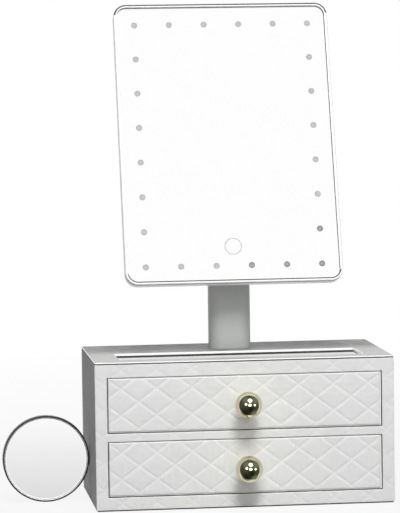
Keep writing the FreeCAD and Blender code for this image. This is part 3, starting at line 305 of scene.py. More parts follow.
def plate_with_painted_shade():
    """The top cover's satin plastic: painted shade makes its top greyer than its edges,
    and a painted shadow of the mirror head darkens it toward the back.
    """
    finish = plastic("plate_with_painted_shade", (0.36, 0.36, 0.355), 0.5, Specular_IOR_Level=0.2)
    # painted shadow of the mirror head on the back of the top
    return finish.tint(finish.along("Y", 30.0, -15.0), 0.45, 0.0, 1.0)


def stem_plastic():
    """The stem's satin plastic, darker on its upper part right under the head: a painted shadow of
    the head.
    """
    finish = plastic("stem_plastic", (0.45, 0.462, 0.45), 0.42, Specular_IOR_Level=0.3)
    # painted shadow of the head on the stem's upper part
    return finish.tint(finish.along("Z", 205.0, 180.0), 0.88, 0.0, 1.0)


# colours of the painted reflection on the knobs' balls
REFLECTION_OLIVE = (0.055, 0.058, 0.034)
PALE_REFLECTION_OLIVE = (0.15, 0.16, 0.10)
DEEP_REFLECTION_OLIVE = (0.012, 0.013, 0.008)
# painted reflections on a knob's ball, a dark olive cap and blotches: across, up and radius in ball
# radii, colour, softness
KNOB_PAINTED_REFLECTIONS = [
    (-0.1, 0.12, 0.79, REFLECTION_OLIVE, 0.04), (0.35, 0.45, 0.3, PALE_REFLECTION_OLIVE, 0.6),
    (-0.3, 0.5, 0.25, PALE_REFLECTION_OLIVE, 0.6), (-0.35, -0.45, 0.3, DEEP_REFLECTION_OLIVE, 0.6),
    (0.05, -0.2, 0.22, DEEP_REFLECTION_OLIVE, 0.6), (0.3, -0.5, 0.2, PALE_REFLECTION_OLIVE, 0.6),
]


def knob_brass_painted_reflection(level, middle):
    """Polished brass whose ball carries a painted reflection in front: a dark, mottled olive cap."""
    finish = metal(f"{level}_knob_brass_painted_reflection", (0.72, 0.66, 0.46), 0.05, deep=0.001)
    centre = Vector((0.0, FRONT - KNOB_REACH, middle))
    # each patch paints a reflection onto the ball
    for across, above, radius, colour, soft in KNOB_PAINTED_REFLECTIONS:
        depth = math.sqrt(1 - across**2 - above**2)
        on_ball = centre + Vector((across, -depth, above)) * KNOB_BALL
        finish.patch(on_ball, radius * KNOB_BALL, colour, soft)
    return finish


# one finish for each slot of the part
FINISHES = {
    "felt": velvet("felt", (0.05, 0.05, 0.055)),
    "fibreboard": fibreboard(),
    "top_plate": plate_with_painted_shade(),
    "velvet": velvet("pale_velvet", (0.7, 0.7, 0.69)),
    "quilted_leather": leather("quilted_leather", (0.762, 0.77, 0.762), 0.3, seams=True),
    # the sides' leather is painted much darker than the front's: painted shade of the sides
    "side_leather": leather("side_leather", (0.35, 0.355, 0.35), 0.05, streaks=True),
    "glide_tape": plastic("glide_tape", (0.85, 0.85, 0.82), 0.4),
    "stem_plastic": stem_plastic(),
    "steel_screws": metal("zinc_plated_steel", (0.56, 0.56, 0.58), 0.32),
    "battery_plastic": plastic("battery_plastic", (0.02, 0.02, 0.022), 0.5),
    "battery_cell": plastic("battery_sleeve", (0.05, 0.05, 0.06), 0.3),
    "contact_metal": metal("nickel", (0.66, 0.64, 0.6), 0.2),
    "white_plastic": plastic("gloss_white_plastic", (0.87, 0.87, 0.87), 0.2),
    "circuit_board": plastic("solder_mask", (0.8, 0.81, 0.8), 0.45, 1.2, 0.02),
    "light_chip": plastic("phosphor", (0.85, 0.72, 0.22), 0.5),
    "hinge_steel": metal("plated_steel", (0.5, 0.5, 0.52), 0.3),
    # near-black chrome: a painted dark reflection
    "chrome": metal("chrome_painted_dark_reflection", (0.06, 0.06, 0.064), 0.2),
    "clear_rubber": clear_vinyl(),
    "brass": metal("polished_brass", (0.74, 0.69, 0.5), 0.05, deep=0.001),
    "silvering": silvering(),
    "clear_glass": clear_glass(),
    "frosting": frosted("frosting", 0.73),
    "magnifier_mirror": magnifier_silvering_painted_shade(),
}

# finishes of single bands of faces, most of them lines and patches of painted shade or highlight
FROSTING_CORE = frosted("frosting_core", 0.84)
# painted shade for the windows at the lower right
FROSTING_PAINTED_SHADE = frosted("frosting_dim", 0.38)
FROSTING_PAINTED_SHADE_CORE = frosted("frosting_painted_shade_core", 0.58)
# lines of painted shade along edges
DARK_SHADE_LINE = painted_shade_line("grey_painted_shade_line", 0.09)
WALL_SHADE_LINE = painted_shade_line("pale_painted_shade_line", 0.3)
PALE_SHADE_LINE = painted_shade_line("pale_inner_painted_shade_line", 0.74)
# painted highlights on the plate's outer edge and on the tray's rim
PLATE_EDGE_HIGHLIGHT = plastic("plate_edge", (0.75, 0.75, 0.745), 0.4, Specular_IOR_Level=0.2)
TRAY_EDGE_HIGHLIGHT = plastic("tray_edge_painted_highlight", (0.8, 0.8, 0.795), 0.4, Specular_IOR_Level=0.2)
# painted shade for the returns into the gaps round the drawers, darkest on the right walls
GAP_SHADE_LEATHER = leather("leather_painted_gap_shade", (0.2, 0.2, 0.198), 0.05)
DEEP_GAP_SHADE_LEATHER = leather("leather_painted_deep_gap_shade", (0.05, 0.05, 0.049), 0.05)
# a painted highlight inside the magnifier's ring
RING_BEVEL_HIGHLIGHT = plastic("ring_bevel_painted_highlight", (0.85, 0.85, 0.85), 0.3)
# a dark sheet of painted shade on the tray's walls
TRAY_WALL_SHADE = velvet("charcoal_painted_shade", (0.045, 0.045, 0.045))

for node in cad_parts.values():
    for holder in node.material_slots:
        known = holder.material.name.split(".")[0]
        holder.link = "OBJECT"
        holder.material = FINISHES[known].material


# --------------------------------------------------------------------- shapes

def rounded_loop(wide, tall, radius, steps):
    """Corners of a rectangle with round corners, counter-clockwise, about its middle."""
    points = []
    for quarter, (side, end) in enumerate([(1, 1), (-1, 1), (-1, -1), (1, -1)]):
        middle_x = side * (wide / 2 - radius)
        middle_y = end * (tall / 2 - radius)
        for step in range(steps + 1):
            angle = (quarter + step / steps) * math.pi / 2
            points.append((middle_x + radius * math.cos(angle), middle_y + radius * math.sin(angle)))
    return points


def arc(radius, start, end, steps=5):
    """Points on a circle of that radius about the origin, angles in degrees."""
    angles = np.radians(np.linspace(start, end, steps + 1))
    return [(radius * math.cos(a), radius * math.sin(a)) for a in angles]


def along_y(middle_x, middle_z, start, sign=-1.0):
    """Places a lathe's axis along Y, from y = start, with height growing toward the front."""
    return lambda a, b, height: (middle_x + a, start + sign * height, middle_z + b)


class Shape:
    """A mesh under construction, in millimetres."""

    def __init__(self):
        self.mesh = bmesh.new()

    def loop(self, points):
        return [self.mesh.verts.new(Vector(point) * MM) for point in points]

    def band(self, first, second, closed=True):
        """Faces between two loops."""
        faces = []
        for index in range(len(first) if closed else len(first) - 1):
            following = (index + 1) % len(first)
            corners = (first[index], first[following], second[following], second[index])
            faces.append(self.mesh.faces.new(corners))
        return faces

    def stack(self, loops, closed=True):
        """Bands from each loop of points to the next."""
        rings = [self.loop(points) for points in loops]
        for first, second in zip(rings, rings[1:]):
            self.band(first, second, closed)
        return rings

    def fill(self, *loops):
        """A flat face inside the first loop, without what the others hold."""
        edges = []
        for loop in loops:
            for start, end in zip(loop, loop[1:] + loop[:1]):
                edges.append(self.mesh.edges.get((start, end)) or self.mesh.edges.new((start, end)))
        bmesh.ops.triangle_fill(self.mesh, use_beauty=True, use_dissolve=False, edges=edges)

    def lathe(self, profile, place, steps):
        """Turn a profile of (radius, height) round an axis; place maps a point there."""
        rings = []
        for radius, height in profile:
            if radius < 1e-6:
                rings.append(self.loop([place(0.0, 0.0, height)]))
                continue
            points = []
            for step in range(steps):
                angle = 2 * math.pi * step / steps
                points.append(place(radius * math.cos(angle), radius * math.sin(angle), height))
            rings.append(self.loop(points))
        for first, second in zip(rings, rings[1:]):
            if len(first) == 1 and len(second) == 1:
                continue
            if len(first) == 1 or len(second) == 1:
                tip, ring = (first, second) if len(first) == 1 else (second, first)
                for index in range(len(ring)):
                    self.mesh.faces.new((tip[0], ring[index], ring[(index + 1) % len(ring)]))
            else:
                self.band(first, second)
        return rings

    def paint(self, rings, finish):
        """The faces that touch these rings get the piece's finish of that number."""
        for ring in rings:
            for corner in ring:
                for face in corner.link_faces:
                    face.material_index = finish

    def piece(self, name, body, slot, replaces=(), matrix=None, sharp=35.0, finishes=()):
        """The finished mesh as a piece that rides on a body and stands for its CAD nodes."""
        if matrix is not None:
            scaled = Matrix.Scale(MM, 4) @ matrix @ Matrix.Scale(1 / MM, 4)
            bmesh.ops.transform(self.mesh, matrix=scaled, verts=self.mesh.verts)
        bmesh.ops.recalc_face_normals(self.mesh, faces=self.mesh.faces)
        data = bpy.data.meshes.new(name)
        self.mesh.to_mesh(data)
        self.mesh.free()
        data.shade_smooth()
        data.set_sharp_from_angle(angle=math.radians(sharp))
        for finish in finishes or (FINISHES[slot],):
            data.materials.append(finish.material)
        item = bpy.data.objects.new(name, data)
        bpy.context.scene.collection.objects.link(item)
        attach(item, body)
        if replaces:
            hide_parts(*replaces)
        return item


# ------------------------------------------------------------- quilted leather

def grid_lines(low, high, marks, edge):
    """Even lines from low to high, with closer ones beside each mark."""
    even = np.round(np.linspace(low, high, int((high - low) / GRID_STEP) + 1), 4)
    kept = {line for line in even if all(abs(line - mark) > 1.2 * edge for mark in marks)}
    for mark in marks:
        for share in (0.0, 0.08, 0.25, 0.5, 0.75, 1.0):
            for side in (-1, 1):
                line = round(mark + side * share * edge, 4)
                if low - 1e-6 <= line <= high + 1e-6:
                    kept.add(line)
    return np.array(sorted(kept))


def from_seams(x, z, middle_z):
    """Distances to the two families of stitch lines, and between the lines of a family."""
    across = x / QUILT_WIDE
    up = (z - middle_z) / QUILT_TALL
    span = QUILT_WIDE * QUILT_TALL / math.hypot(QUILT_WIDE, QUILT_TALL)
    rising = np.abs(across - up - np.round(across - up)) * span
    falling = np.abs(across + up - np.round(across + up)) * span
    return rising, falling, span


def stitched(x, z, middle_z):
    """How far the padding stands out, 0 at a stitch line to 1 in the middle of a diamond."""
    rising, falling, span = from_seams(x, z, middle_z)
    wide = 1.2
    crease = (1 - np.exp(-((rising / wide) ** 1.6))) * (1 - np.exp(-((falling / wide) ** 1.6)))
    crown = np.sin(np.pi * rising / span) * np.sin(np.pi * falling / span)
    return 0.7 * crease + 0.3 * crown


def thread(x, z, middle_z):
    """How much of the seam is painted paler, 0 to 1: a row of stitches along each seam, thread and
    painted highlight.
    """
    wide = 0.8
    stitch = 3.4
    rising, falling, _ = from_seams(x, z, middle_z)
    row = 0.7 + 0.3 * np.sin(2 * math.pi * x / stitch)
    return row * np.exp(-((np.minimum(rising, falling) / wide) ** 2))


def uneven(x, z, seed, short=14.0, long=45.0):
    """Slow, small waves that keep a soft surface from looking machined."""
    total = np.zeros_like(x)
    draw = np.random.default_rng(seed)
    waves = 6
    for _ in range(waves):
        turn = draw.uniform(0, 2 * math.pi)
        length = draw.uniform(short, long)
        shift = draw.uniform(0, 2 * math.pi)
        total += np.sin((x * math.cos(turn) + z * math.sin(turn)) * 2 * math.pi / length + shift)
    return total / waves


def rounding(distance, radius):
    """How far a surface has turned back at a distance from its edge."""
    inside = np.clip(radius - distance, 0.0, radius)
    return radius - np.sqrt(np.maximum(radius**2 - inside**2, 0.0))


def panel(name, body, replaces, box, openings, height, seams, edge, inner_back, outer_back):
    """A padded sheet on the front, turned back round its outline and its openings.

    box and each opening are (left, right, low, high); height and seams give the padding's
    height and the paleness of thread and painted highlight along the seams, at arrays of x and z;
    edge is the radius of the turns.
    """
    left, right, low, high = box
    xs = grid_lines(left, right, [left, right] + [x for o in openings for x in o[:2]], edge)
    zs = grid_lines(low, high, [low, high] + [z for o in openings for z in o[2:]], edge)
    x, z = np.meshgrid(xs, zs, indexing="ij")
    back = np.maximum(rounding(np.minimum(x - left, right - x), edge),
                      rounding(np.minimum(z - low, high - z), edge))
    for a, b, c, d in openings:
        outside_x = np.maximum(np.maximum(a - x, x - b), 0.0)
        outside_z = np.maximum(np.maximum(c - z, z - d), 0.0)
        back = np.maximum(back, rounding(np.hypot(outside_x, outside_z), edge))
    flat = np.clip(1 - back / edge, 0.0, 1.0)
    y = FRONT + PADDING_SUNK - height(x, z) * flat + back
    pale = seams(x, z) * flat
    shape = Shape()
    seam = shape.mesh.verts.layers.float.new(SEAM_LAYER)
    verts = {}

    def vertex(i, j):
        if (i, j) not in verts:
            verts[i, j] = shape.mesh.verts.new(Vector((xs[i], y[i, j], zs[j])) * MM)
            verts[i, j][seam] = pale[i, j]
        return verts[i, j]

    for i in range(len(xs) - 1):
        for j in range(len(zs) - 1):
            middle_x = (xs[i] + xs[i + 1]) / 2
            middle_z = (zs[j] + zs[j + 1]) / 2
            if any(a < middle_x < b and c < middle_z < d for a, b, c, d in openings):
                continue
            corners = (vertex(i, j), vertex(i + 1, j), vertex(i + 1, j + 1), vertex(i, j + 1))
            shape.mesh.faces.new(corners)
    rims = [side for side in shape.mesh.edges if side.is_boundary]
    grown = bmesh.ops.extrude_edge_only(shape.mesh, edges=rims)["geom"]
    for corner in (part for part in grown if isinstance(part, bmesh.types.BMVert)):
        at = corner.co / MM
        outer = min(at.x - left, right - at.x, at.z - low, high - at.z) < 1e-3
        right_wall = any(abs(at.x - opening[1]) < 1e-3 for opening in openings)
        corner.co.y = (outer_back if outer else inner_back) * MM
        # the returns into the openings get painted shade, darkest on each opening's right wall
        for face in corner.link_faces:
            face.material_index = 0 if outer else 2 if right_wall else 1
    item = shape.piece(name, body, "quilted_leather", replaces, sharp=50.0,
                       finishes=[FINISHES["quilted_leather"], GAP_SHADE_LEATHER, DEEP_GAP_SHADE_LEATHER])


def make_frame_leather():
    """The leather on the cabinet's front, whose diamonds are centred on the front."""
    middle = PLATE_TOP / 2
    inset = 0.15
    turned_in = 10.0
    openings = [(-BAY_SIDE + inset, BAY_SIDE - inset, low + inset, high - inset)
                for low, high in BAYS.values()]

    def height(x, z):
        return (0.3 * stitched(x, z, middle) + 0.08 * uneven(x, z, 3)
                + 0.05 * uneven(x, z, 23, 5.0, 12.0))

    def seams(x, z):
        return 0.45 * thread(x, z, middle)

    box = (-BOX_WIDE / 2, BOX_WIDE / 2, LEATHER_LOW, PLATE_LOW)
    panel("quilted_frame", "cabinet", ["frame_quilt"], box, openings, height, seams, 0.8,
          FRONT + turned_in, FRONT + LEATHER)


def make_drawer_leather(level, low, high):
    """A drawer's leather, pressed flat under its knob."""
    middle = (low + high) / 2
    seed = len(level) + int(low)
    foot = 9.5
    spread = 5.0
    turned_in = 9.0

    def height(x, z):
        padding = (0.46 * stitched(x, z, middle + QUILT_RISE) + 0.12 * uneven(x, z, seed)
                   + 0.07 * uneven(x, z, seed + 20, 5.0, 12.0))
        free = np.clip((np.hypot(x, z - middle) - foot) / spread, 0.0, 1.0)
        return padding * free + PADDING_SUNK * (1 - free)

    def seams(x, z):
        return thread(x, z, middle + QUILT_RISE)

    gap_left, gap_right, gap_below, gap_above = 1.0, 2.0, 1.6, 0.6
    box = (-BAY_SIDE + gap_left, BAY_SIDE - gap_right, low + gap_below, high - gap_above)
    panel(f"{level}_drawer_leather", f"{level}_drawer", [f"{level}_drawer_quilt"], box, [],
          height, seams, 1.5, None, FRONT + turned_in)


make_frame_leather()
for level, (low, high) in BAYS.items():
    make_drawer_leather(level, low, high)


# --------------------------------------------------------- sides and the top

def make_wrap():
    """The leather round the sides and the back, turned in a little at both edges."""
    corner = 2.5
    turned = 0.6
    side = BOX_WIDE / 2
    back = BOX_DEEP / 2
    start = FRONT + LEATHER
    path = [(-side, y) for y in np.linspace(start, back - corner, 34)]
    path += [(-side + corner + a, back - corner + b) for a, b in arc(corner, 180, 90)][1:]
    path += [(x, back) for x in np.linspace(-side + corner, side - corner, 60)][1:]
    path += [(side - corner + a, back - corner + b) for a, b in arc(corner, 90, 0)][1:]
    path += [(side, y) for y in np.linspace(back - corner, start, 34)][1:]
    points = np.array(path)
    tangent = np.gradient(points, axis=0)
    tangent /= np.linalg.norm(tangent, axis=1)[:, None]
    outward = np.stack([-tangent[:, 1], tangent[:, 0]], axis=1)
    run = np.concatenate([[0.0], np.cumsum(np.linalg.norm(np.diff(points, axis=0), axis=1))])
    quarter = arc(turned, 90, 0, 3)
    levels = [(LEATHER_LOW + turned - b, turned - a) for a, b in quarter]
    levels += [(z, 0.0) for z in np.linspace(LEATHER_LOW + turned, PLATE_LOW - turned, 30)][1:]
    levels += [(PLATE_LOW - turned + b, turned - a) for a, b in reversed(quarter)][1:]
    loops = []
    for z, sunk in levels:
        wave = 0.05 * (uneven(run, np.full_like(run, z), 11) - 1.0)
        place = points + outward * (wave - sunk)[:, None]
        loops.append([(x, y, z) for x, y in place])
    shape = Shape()
    shape.stack(loops, closed=False)
    # the sides and back wear the darker side leather: painted shade
    shape.piece("side_wrap", "cabinet", "side_leather", ["outer_wrap"], sharp=50.0)


def make_plate():
    """The top cover with its rounded edges, a painted shade line under its rim, painted highlights
    on its edges, and its tray's opening.
    """
    edge = 0.9
    lip = 0.7
    corner = 1.6
    outside = [(0.5, PLATE_LOW), (0.1, PLATE_LOW + 0.4), (0.0, PLATE_LOW + 1.1)]
    outside += [(edge - a, PLATE_TOP - edge + b) for a, b in arc(edge, 0, 90)]
    outer = []
    for inset, z in outside:
        loop = rounded_loop(BOX_WIDE - 2 * inset, BOX_DEEP - 2 * inset, corner, 5)
        outer.append([(x, y, z) for x, y in loop])
    inside = [(lip - a, PLATE_TOP - lip + b) for a, b in arc(lip, 90, 0)]
    inside += [(0.0, PLATE_LOW + 0.1), (-0.1, PLATE_LOW)]
    inner = []
    for grown, z in inside:
        loop = rounded_loop(TRAY_WIDE + 2 * grown, TRAY_DEEP + 2 * grown, TRAY_CORNER + grown, 5)
        inner.append([(x, y + TRAY_MIDDLE, z) for x, y in loop])
    shape = Shape()
    outer_rings = shape.stack(outer)
    # painted highlight on the outer edge, and a painted shade line just above the leather
    shape.paint(outer_rings[:-2], 1)
    shape.paint(outer_rings[1:2], 3)
    inner_rings = shape.stack(inner)
    # painted highlight on the tray's rim
    shape.paint(inner_rings[2:], 2)
    shape.fill(outer_rings[-1], inner_rings[0])
    shape.piece("top_cover", "cabinet", "top_plate", ["top_plate"],
                finishes=[FINISHES["top_plate"], PLATE_EDGE_HIGHLIGHT, TRAY_EDGE_HIGHLIGHT, DARK_SHADE_LINE])


def make_tray_velvet():
    """The velvet on the tray's floor."""
    clearance = 0.3
    side = TRAY_WIDE / 2 - clearance
    end = TRAY_DEEP / 2 - clearance
    x, y = np.meshgrid(np.linspace(-side, side, 124), np.linspace(-end, end, 30))
    z = TRAY_FLOOR + 0.07 * uneven(x, y, 5)
    shape = Shape()
    shape.stack([list(zip(*row)) for row in zip(x, y + TRAY_MIDDLE, z)], closed=False)
    shape.piece("tray_velvet", "cabinet", "velvet", ["tray_lining"])


def make_tray_wall_shade():
    """A thin dark sheet on the tray's walls: painted shade in the tray's recess."""
    foot = TRAY_FLOOR - 0.2
    section = [(-0.05, foot), (-0.05, PLATE_LOW), (0.05, PLATE_LOW - 0.02),
               (0.1, PLATE_LOW - 0.15), (0.1, foot)]
    loops = []
    for inset, z in section:
        loop = rounded_loop(TRAY_WIDE - 2 * inset, TRAY_DEEP - 2 * inset, TRAY_CORNER - inset, 5)
        loops.append([(x, y + TRAY_MIDDLE, z) for x, y in loop])
    shape = Shape()
    shape.stack(loops)
    shape.piece("tray_wall_painted_shade", "cabinet", "velvet", finishes=[TRAY_WALL_SHADE])


make_wrap()
make_plate()
make_tray_velvet()
make_tray_wall_shade()


# ---------------------------------------------------------------- mirror head

def head_loops(section, wide, tall, corner, steps):
    """Loops round a rectangle on the head, one for each (inset, depth) of the section."""
    loops = []
    for inset, y in section:
        loop = rounded_loop(wide - 2 * inset, tall - 2 * inset, corner - inset, steps)
        loops.append([(x, y, z) for x, z in loop])
    return loops


def make_bezel():
    """The bezel, whose edges are drawn with thin grey lines of painted shade as in the photograph,
    darkest along the top and bottom.
    """
    front = -0.8
    back = 8.0
    wall_line_back = 3.4
    lip = 3.2
    lap = 2.2
    outer_round = 1.5
    inner_round = 0.4
    inner_line_wide = 1.3
    corner_tall = 11.0
    outer_arc = arc(outer_round, 0, 90, 7)
    inner_arc = arc(inner_round, 0, 90)
    section = [(lap, back), (0.0, back), (0.0, wall_line_back)]
    section += [(outer_round - a, front + outer_round - b) for a, b in outer_arc]
    section.append((lip - inner_line_wide, front))
    section += [(lip - inner_round + b, front + inner_round - a) for b, a in reversed(inner_arc)]
    section += [(lip, 0.0), (lap, 0.0), (lap, back)]
    # bands of the section, counted from its first point
    wall_line = range(2, 3)
    outer_line = range(wall_line.stop, wall_line.stop + len(outer_arc))
    inner_line = range(outer_line.stop, outer_line.stop + 1 + len(inner_arc))
    shape = Shape()
    rings = [shape.loop(points)
             for points in head_loops(section, HEAD_WIDE, HEAD_TALL, HEAD_CORNER, 12)]
    # the edge lines are painted shade, darkest on the top and bottom edges and pale on the sides
    white, dark, grey, pale = range(4)
    end = HEAD_TALL / 2 - corner_tall
    for index, (first, second) in enumerate(zip(rings, rings[1:])):
        for face in shape.band(first, second):
            high = face.calc_center_median().z / MM
            if index in wall_line:
                face.material_index = grey if high < -end else white
            elif index in outer_line:
                face.material_index = dark if high > end else white if high < -end else pale
            elif index in inner_line:
                face.material_index = dark if high < -end else pale
    shape.piece("mirror_bezel", "mirror_head", "white_plastic", ["front_bezel"],
                matrix=head_matrix,
                finishes=[FINISHES["white_plastic"], DARK_SHADE_LINE, WALL_SHADE_LINE, PALE_SHADE_LINE])


def make_pane():
    """The glass, its arris ground off and its back just clear of the silvering."""
    seat = 2.4
    thick = 2.97
    arris = 0.35
    section = [(arris, 0.0), (0.0, arris), (0.0, thick - arris), (arris, thick)]
    shape = Shape()
    rings = shape.stack(head_loops(section, HEAD_WIDE - 2 * seat, HEAD_TALL - 2 * seat,
                                   HEAD_CORNER - seat, 10))
    shape.fill(rings[0])
    shape.fill(rings[-1])
    shape.piece("mirror_glass", "mirror_head", "clear_glass", ["glass_pane"],
                matrix=head_matrix)


def make_windows():
    """The frosted light windows, with a lighter middle, and the mark of the touch button."""
    back = SILVER_FRONT + 0.25
    core = 0.6 * LIGHT_ROUND
    places = [(column, row) for column in range(-5, 6, 2) for row in (-7, 7)]
    places += [(column, row) for row in range(-5, 6, 2) for column in (-5, 5)]
    shape = Shape()
    for column, row in places:
        # the photograph's four windows at the lower right are darker than the rest; here they get
        # painted shade
        dim = row == -7 and column > 0 or (column, row) == (5, -5)
        axis = along_y(column / 2 * LIGHT_PITCH[0], row / 2 * LIGHT_PITCH[1] - LIGHTS_LOW, 0.0, 1.0)
        middle = [(0.0, SILVER_FRONT), (core, SILVER_FRONT)]
        rest = [(core, SILVER_FRONT), (LIGHT_ROUND, SILVER_FRONT), (LIGHT_ROUND, back), (0.0, back)]
        shape.paint(shape.lathe(middle, axis, 32), 3 if dim else 1)
        shape.paint(shape.lathe(rest, axis, 32), 2 if dim else 0)
    outer = 8.9
    line = 1.0
    inner = outer - line
    mark = [(inner, SILVER_FRONT), (outer, SILVER_FRONT), (outer, back), (inner, back),
            (inner, SILVER_FRONT)]
    shape.paint(shape.lathe(mark, along_y(0.0, -TOUCH_LOW, 0.0, 1.0), 64), 1)
    bmesh.ops.remove_doubles(shape.mesh, verts=shape.mesh.verts, dist=1e-6)
    shape.piece("light_windows", "mirror_head", "frosting", ["frosted_windows"],
                matrix=head_matrix,
                finishes=[FINISHES["frosting"], FROSTING_CORE, FROSTING_PAINTED_SHADE, FROSTING_PAINTED_SHADE_CORE])


make_bezel()
make_pane()
make_windows()


# --------------------------------------------------------------------- knobs

def make_knob(level, centre):
    """A ball knob on a round foot, turned about an axis that points to the front."""
    foot = 9.0
    lift = 0.02
    chamfer = 0.3
    shoulder = 0.8
    neck = 4.5
    neck_foot = 2.3
    fillet = 1.6
    profile = [(0.0, lift), (foot - chamfer, lift), (foot, chamfer), (foot, shoulder)]
    profile += [(foot - shoulder + a, shoulder + b) for a, b in arc(shoulder, 0, 90, 4)][1:]
    profile += [(foot - 2.0, 1.75), (neck + fillet, neck_foot)]
    for angle in np.radians([20, 40, 60, 80, 90]):
        profile.append((neck + fillet - fillet * math.sin(angle),
                        neck_foot + fillet - fillet * math.cos(angle)))
    start = math.degrees(math.asin(neck / KNOB_BALL))
    for angle in np.radians(np.linspace(start, 180.0, 46)[:-1]):
        profile.append((KNOB_BALL * math.sin(angle), KNOB_REACH - KNOB_BALL * math.cos(angle)))
    profile.append((0.0, KNOB_REACH + KNOB_BALL))
    shape = Shape()
    shape.lathe(profile, along_y(0.0, centre, FRONT), 96)
    return shape.piece(f"{level}_knob", f"{level}_drawer", "brass", [f"{level}_drawer_knob"],
                       sharp=60.0, finishes=[knob_brass_painted_reflection(level, centre)])


knobs = [make_knob(level, (low + high) / 2) for level, (low, high) in BAYS.items()]


# ----------------------------------------------------------------- magnifier

def make_magnifier_ring():
    """The chrome ring, near black as a painted dark reflection: a bead in front with a white bevel
    inside as a painted highlight, and a groove behind it.
    """
    wall = 2.2
    bead = wall / 2
    bead_at = 4.9
    bevel_low, bevel_high = 4.6, 5.2
    groove_at = 3.0
    groove_half = 0.2
    groove_deep = 0.35
    back = -2.0
    chamfer = 0.3
    outer = MAGNIFIER_ROUND
    inner = outer - wall
    profile = [(inner, bevel_low), (inner, bevel_high)]
    profile += [(outer - bead - bead * math.cos(a), bead_at + bead * math.sin(a))
                for a in np.radians(np.linspace(20, 160, 10))]
    profile += [(outer, bead_at), (outer, groove_at + groove_half),
                (outer - groove_deep, groove_at), (outer, groove_at - groove_half),
                (outer, back + chamfer), (outer - chamfer, back), (inner, back),
                (inner, bevel_low)]
    shape = Shape()
    rings = shape.lathe(profile, along_y(*MAGNIFIER, 0.0), 128)
    # the white bevel is a painted highlight
    shape.paint(rings[:4], 1)
    shape.piece("magnifier_ring", "magnifying_mirror", "chrome", ["magnifier_rim"], sharp=40.0,
                finishes=[FINISHES["chrome"], RING_BEVEL_HIGHLIGHT])


def make_magnifier_face():
    """The dished glass, silvered, with a bright bevel round it."""
    edge = 41.6
    back = 2.25
    front = 5.2
    bevel = 0.5
    dish = 0.8
    dish_share = 0.966
    profile = [(edge, back), (edge, front - bevel), (edge - bevel, front)]
    for share in np.linspace(dish_share, 0.0, 24):
        profile.append((edge * share, front - dish * (1 - share**2)))
    profile += [(0.0, back), (edge, back)]
    shape = Shape()
    rings = shape.lathe(profile, along_y(*MAGNIFIER, 0.0), 128)
    shape.paint(rings[1:3], 1)
    shape.piece("magnifier_face", "magnifying_mirror", "magnifier_mirror", ["magnifier_glass"],
                sharp=30.0, finishes=[FINISHES["magnifier_mirror"], FINISHES["silvering"]])


make_magnifier_ring()
make_magnifier_face()


# ---------------------------------------------------------------- the studio

def background_rays(tree):
    """1 for rays from the camera and off gloss or glass, which see white, and 0 for the rest."""
    path = add_node(tree, "ShaderNodeLightPath")
    seen = path.outputs["Is Camera Ray"]
    for kind in ("Is Glossy Ray", "Is Transmission Ray"):
        either = add_node(tree, "ShaderNodeMath")
        either.operation = "MAXIMUM"
        tree.links.new(seen, either.inputs[0])
        tree.links.new(path.outputs[kind], either.inputs[1])
        seen = either.outputs[0]
    return seen


def floor_finish():
    """A pale floor that reads as white and keeps a soft shadow near the object."""
    near, far = 0.3, 1.5
    white_near = 0.88
    grey = 0.36
    material = bpy.data.materials.new("pale_floor")
    material.use_nodes = True
    tree = material.node_tree
    tree.nodes.clear()
    link = tree.links.new
    length = add_node(tree, "ShaderNodeVectorMath")
    length.operation = "LENGTH"
    link(add_node(tree, "ShaderNodeTexCoord").outputs["Object"], length.inputs[0])
    fade = add_node(tree, "ShaderNodeMapRange", From_Min=near, From_Max=far,
                    To_Min=white_near, To_Max=1.0)
    link(length.outputs["Value"], fade.inputs["Value"])
    share = add_node(tree, "ShaderNodeMath")
    share.operation = "MULTIPLY"
    link(background_rays(tree), share.inputs[0])
    link(fade.outputs["Result"], share.inputs[1])
    diffuse = add_node(tree, "ShaderNodeBsdfDiffuse", Color=(grey, grey, grey, 1.0))
    glow = add_node(tree, "ShaderNodeEmission", Color=(1.0, 1.0, 1.0, 1.0))
    mix = add_node(tree, "ShaderNodeMixShader")
    link(share.outputs[0], mix.inputs[0])
    link(diffuse.outputs[0], mix.inputs[1])
    link(glow.outputs[0], mix.inputs[2])
    link(mix.outputs[0], add_node(tree, "ShaderNodeOutputMaterial").inputs["Surface"])
    return material


def make_floor():
    size = 6000.0
    drop = -0.05
    shape = Shape()
    shape.mesh.faces.new(shape.loop([(x * size, y * size, drop)
                                     for x, y in [(-1, -1), (1, -1), (1, 1), (-1, 1)]]))
    data = bpy.data.meshes.new("floor")
    shape.mesh.to_mesh(data)
    shape.mesh.free()
    data.materials.append(floor_finish())
    floor = bpy.data.objects.new("floor", data)
    bpy.context.scene.collection.objects.link(floor)
    floor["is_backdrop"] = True


def make_world():
    """A white background whose own light on the object is weak."""
    ambient = 0.1
    world = bpy.data.worlds.new("studio")
    bpy.context.scene.world = world
    world.use_nodes = True
    tree = world.node_tree
    background = tree.nodes["Background"]
    background.inputs["Color"].default_value = (1.0, 1.0, 1.0, 1.0)
    level = add_node(tree, "ShaderNodeMapRange", To_Min=ambient, To_Max=1.0)
    tree.links.new(background_rays(tree), level.inputs["Value"])
    tree.links.new(level.outputs["Result"], background.inputs["Strength"])


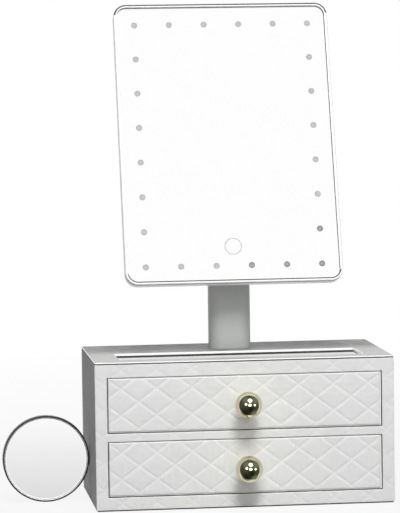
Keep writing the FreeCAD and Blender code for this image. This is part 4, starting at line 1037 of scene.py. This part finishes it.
def make_lamp(name, azimuth, elevation, distance, size, watts, pieces=()):
    """A soft box that faces the cabinet; azimuth 0 is straight in front, 90 to the right.

    With pieces it lights those alone, and shows in their gloss.
    """
    target = Vector((0.0, -40.0, 180.0)) * MM
    turn = math.radians(azimuth)
    rise = math.radians(elevation)
    out = Vector((math.sin(turn) * math.cos(rise), -math.cos(turn) * math.cos(rise),
                  math.sin(rise)))
    data = bpy.data.lights.new(name, "AREA")
    data.shape = "DISK"
    data.size = size
    data.energy = watts
    item = bpy.data.objects.new(name, data)
    item.location = target + out * distance
    item.rotation_mode = "QUATERNION"
    item.rotation_quaternion = (-out).to_track_quat("-Z", "Y")
    item.visible_glossy = bool(pieces)
    item.visible_transmission = False
    bpy.context.scene.collection.objects.link(item)
    if pieces:
        lit = bpy.data.collections.new(f"lit_by_{name}")
        for piece in pieces:
            lit.objects.link(piece)
        item.light_linking.receiver_collection = lit


def make_camera():
    yaw, pitch, roll = map(math.radians, (CAMERA_YAW, CAMERA_PITCH, CAMERA_ROLL))
    forward = Vector((math.sin(yaw) * math.cos(pitch), math.cos(yaw) * math.cos(pitch),
                      -math.sin(pitch)))
    level_right = Vector((math.cos(yaw), -math.sin(yaw), 0.0))
    level_up = level_right.cross(forward)
    right = level_right * math.cos(roll) - level_up * math.sin(roll)
    up = level_up * math.cos(roll) + level_right * math.sin(roll)
    data = bpy.data.cameras.new("camera")
    data.sensor_width = 36.0
    data.lens = CAMERA_LENS
    data.clip_end = 100.0
    camera = bpy.data.objects.new("camera", data)
    turn = Matrix((right, up, -forward)).transposed().to_4x4()
    camera.matrix_world = Matrix.Translation(CAMERA_PLACE * MM) @ turn
    bpy.context.scene.collection.objects.link(camera)
    bpy.context.scene.camera = camera


# azimuth and elevation in degrees, distance and width in metres, watts
LAMPS = {
    "key": (-1.0, 48.0, 2.6, 0.9, 53.0),
    "fill": (0.0, 20.0, 2.6, 2.2, 18.0),
    "overhead": (0.0, 78.0, 2.2, 0.9, 27.0),
    "back": (180.0, 12.0, 2.6, 0.9, 45.0),
}
# the soft boxes that the photograph's knobs reflect
KNOB_LAMPS = {
    "glint_top": (8.6, 44.6, 2.6, 1.4, 210.0),
    "glint_left": (-30.3, 12.9, 2.6, 0.84, 66.0),
    "glint_middle": (3.1, 5.4, 2.6, 1.17, 126.0),
    "glint_right": (44.4, 2.8, 2.6, 0.63, 36.0),
}

make_floor()
make_world()
for name, settings in LAMPS.items():
    make_lamp(name, *settings)
for name, settings in KNOB_LAMPS.items():
    make_lamp(name, *settings, pieces=knobs)
make_camera()

bpy.context.scene.view_settings.view_transform = "Standard"

low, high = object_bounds()
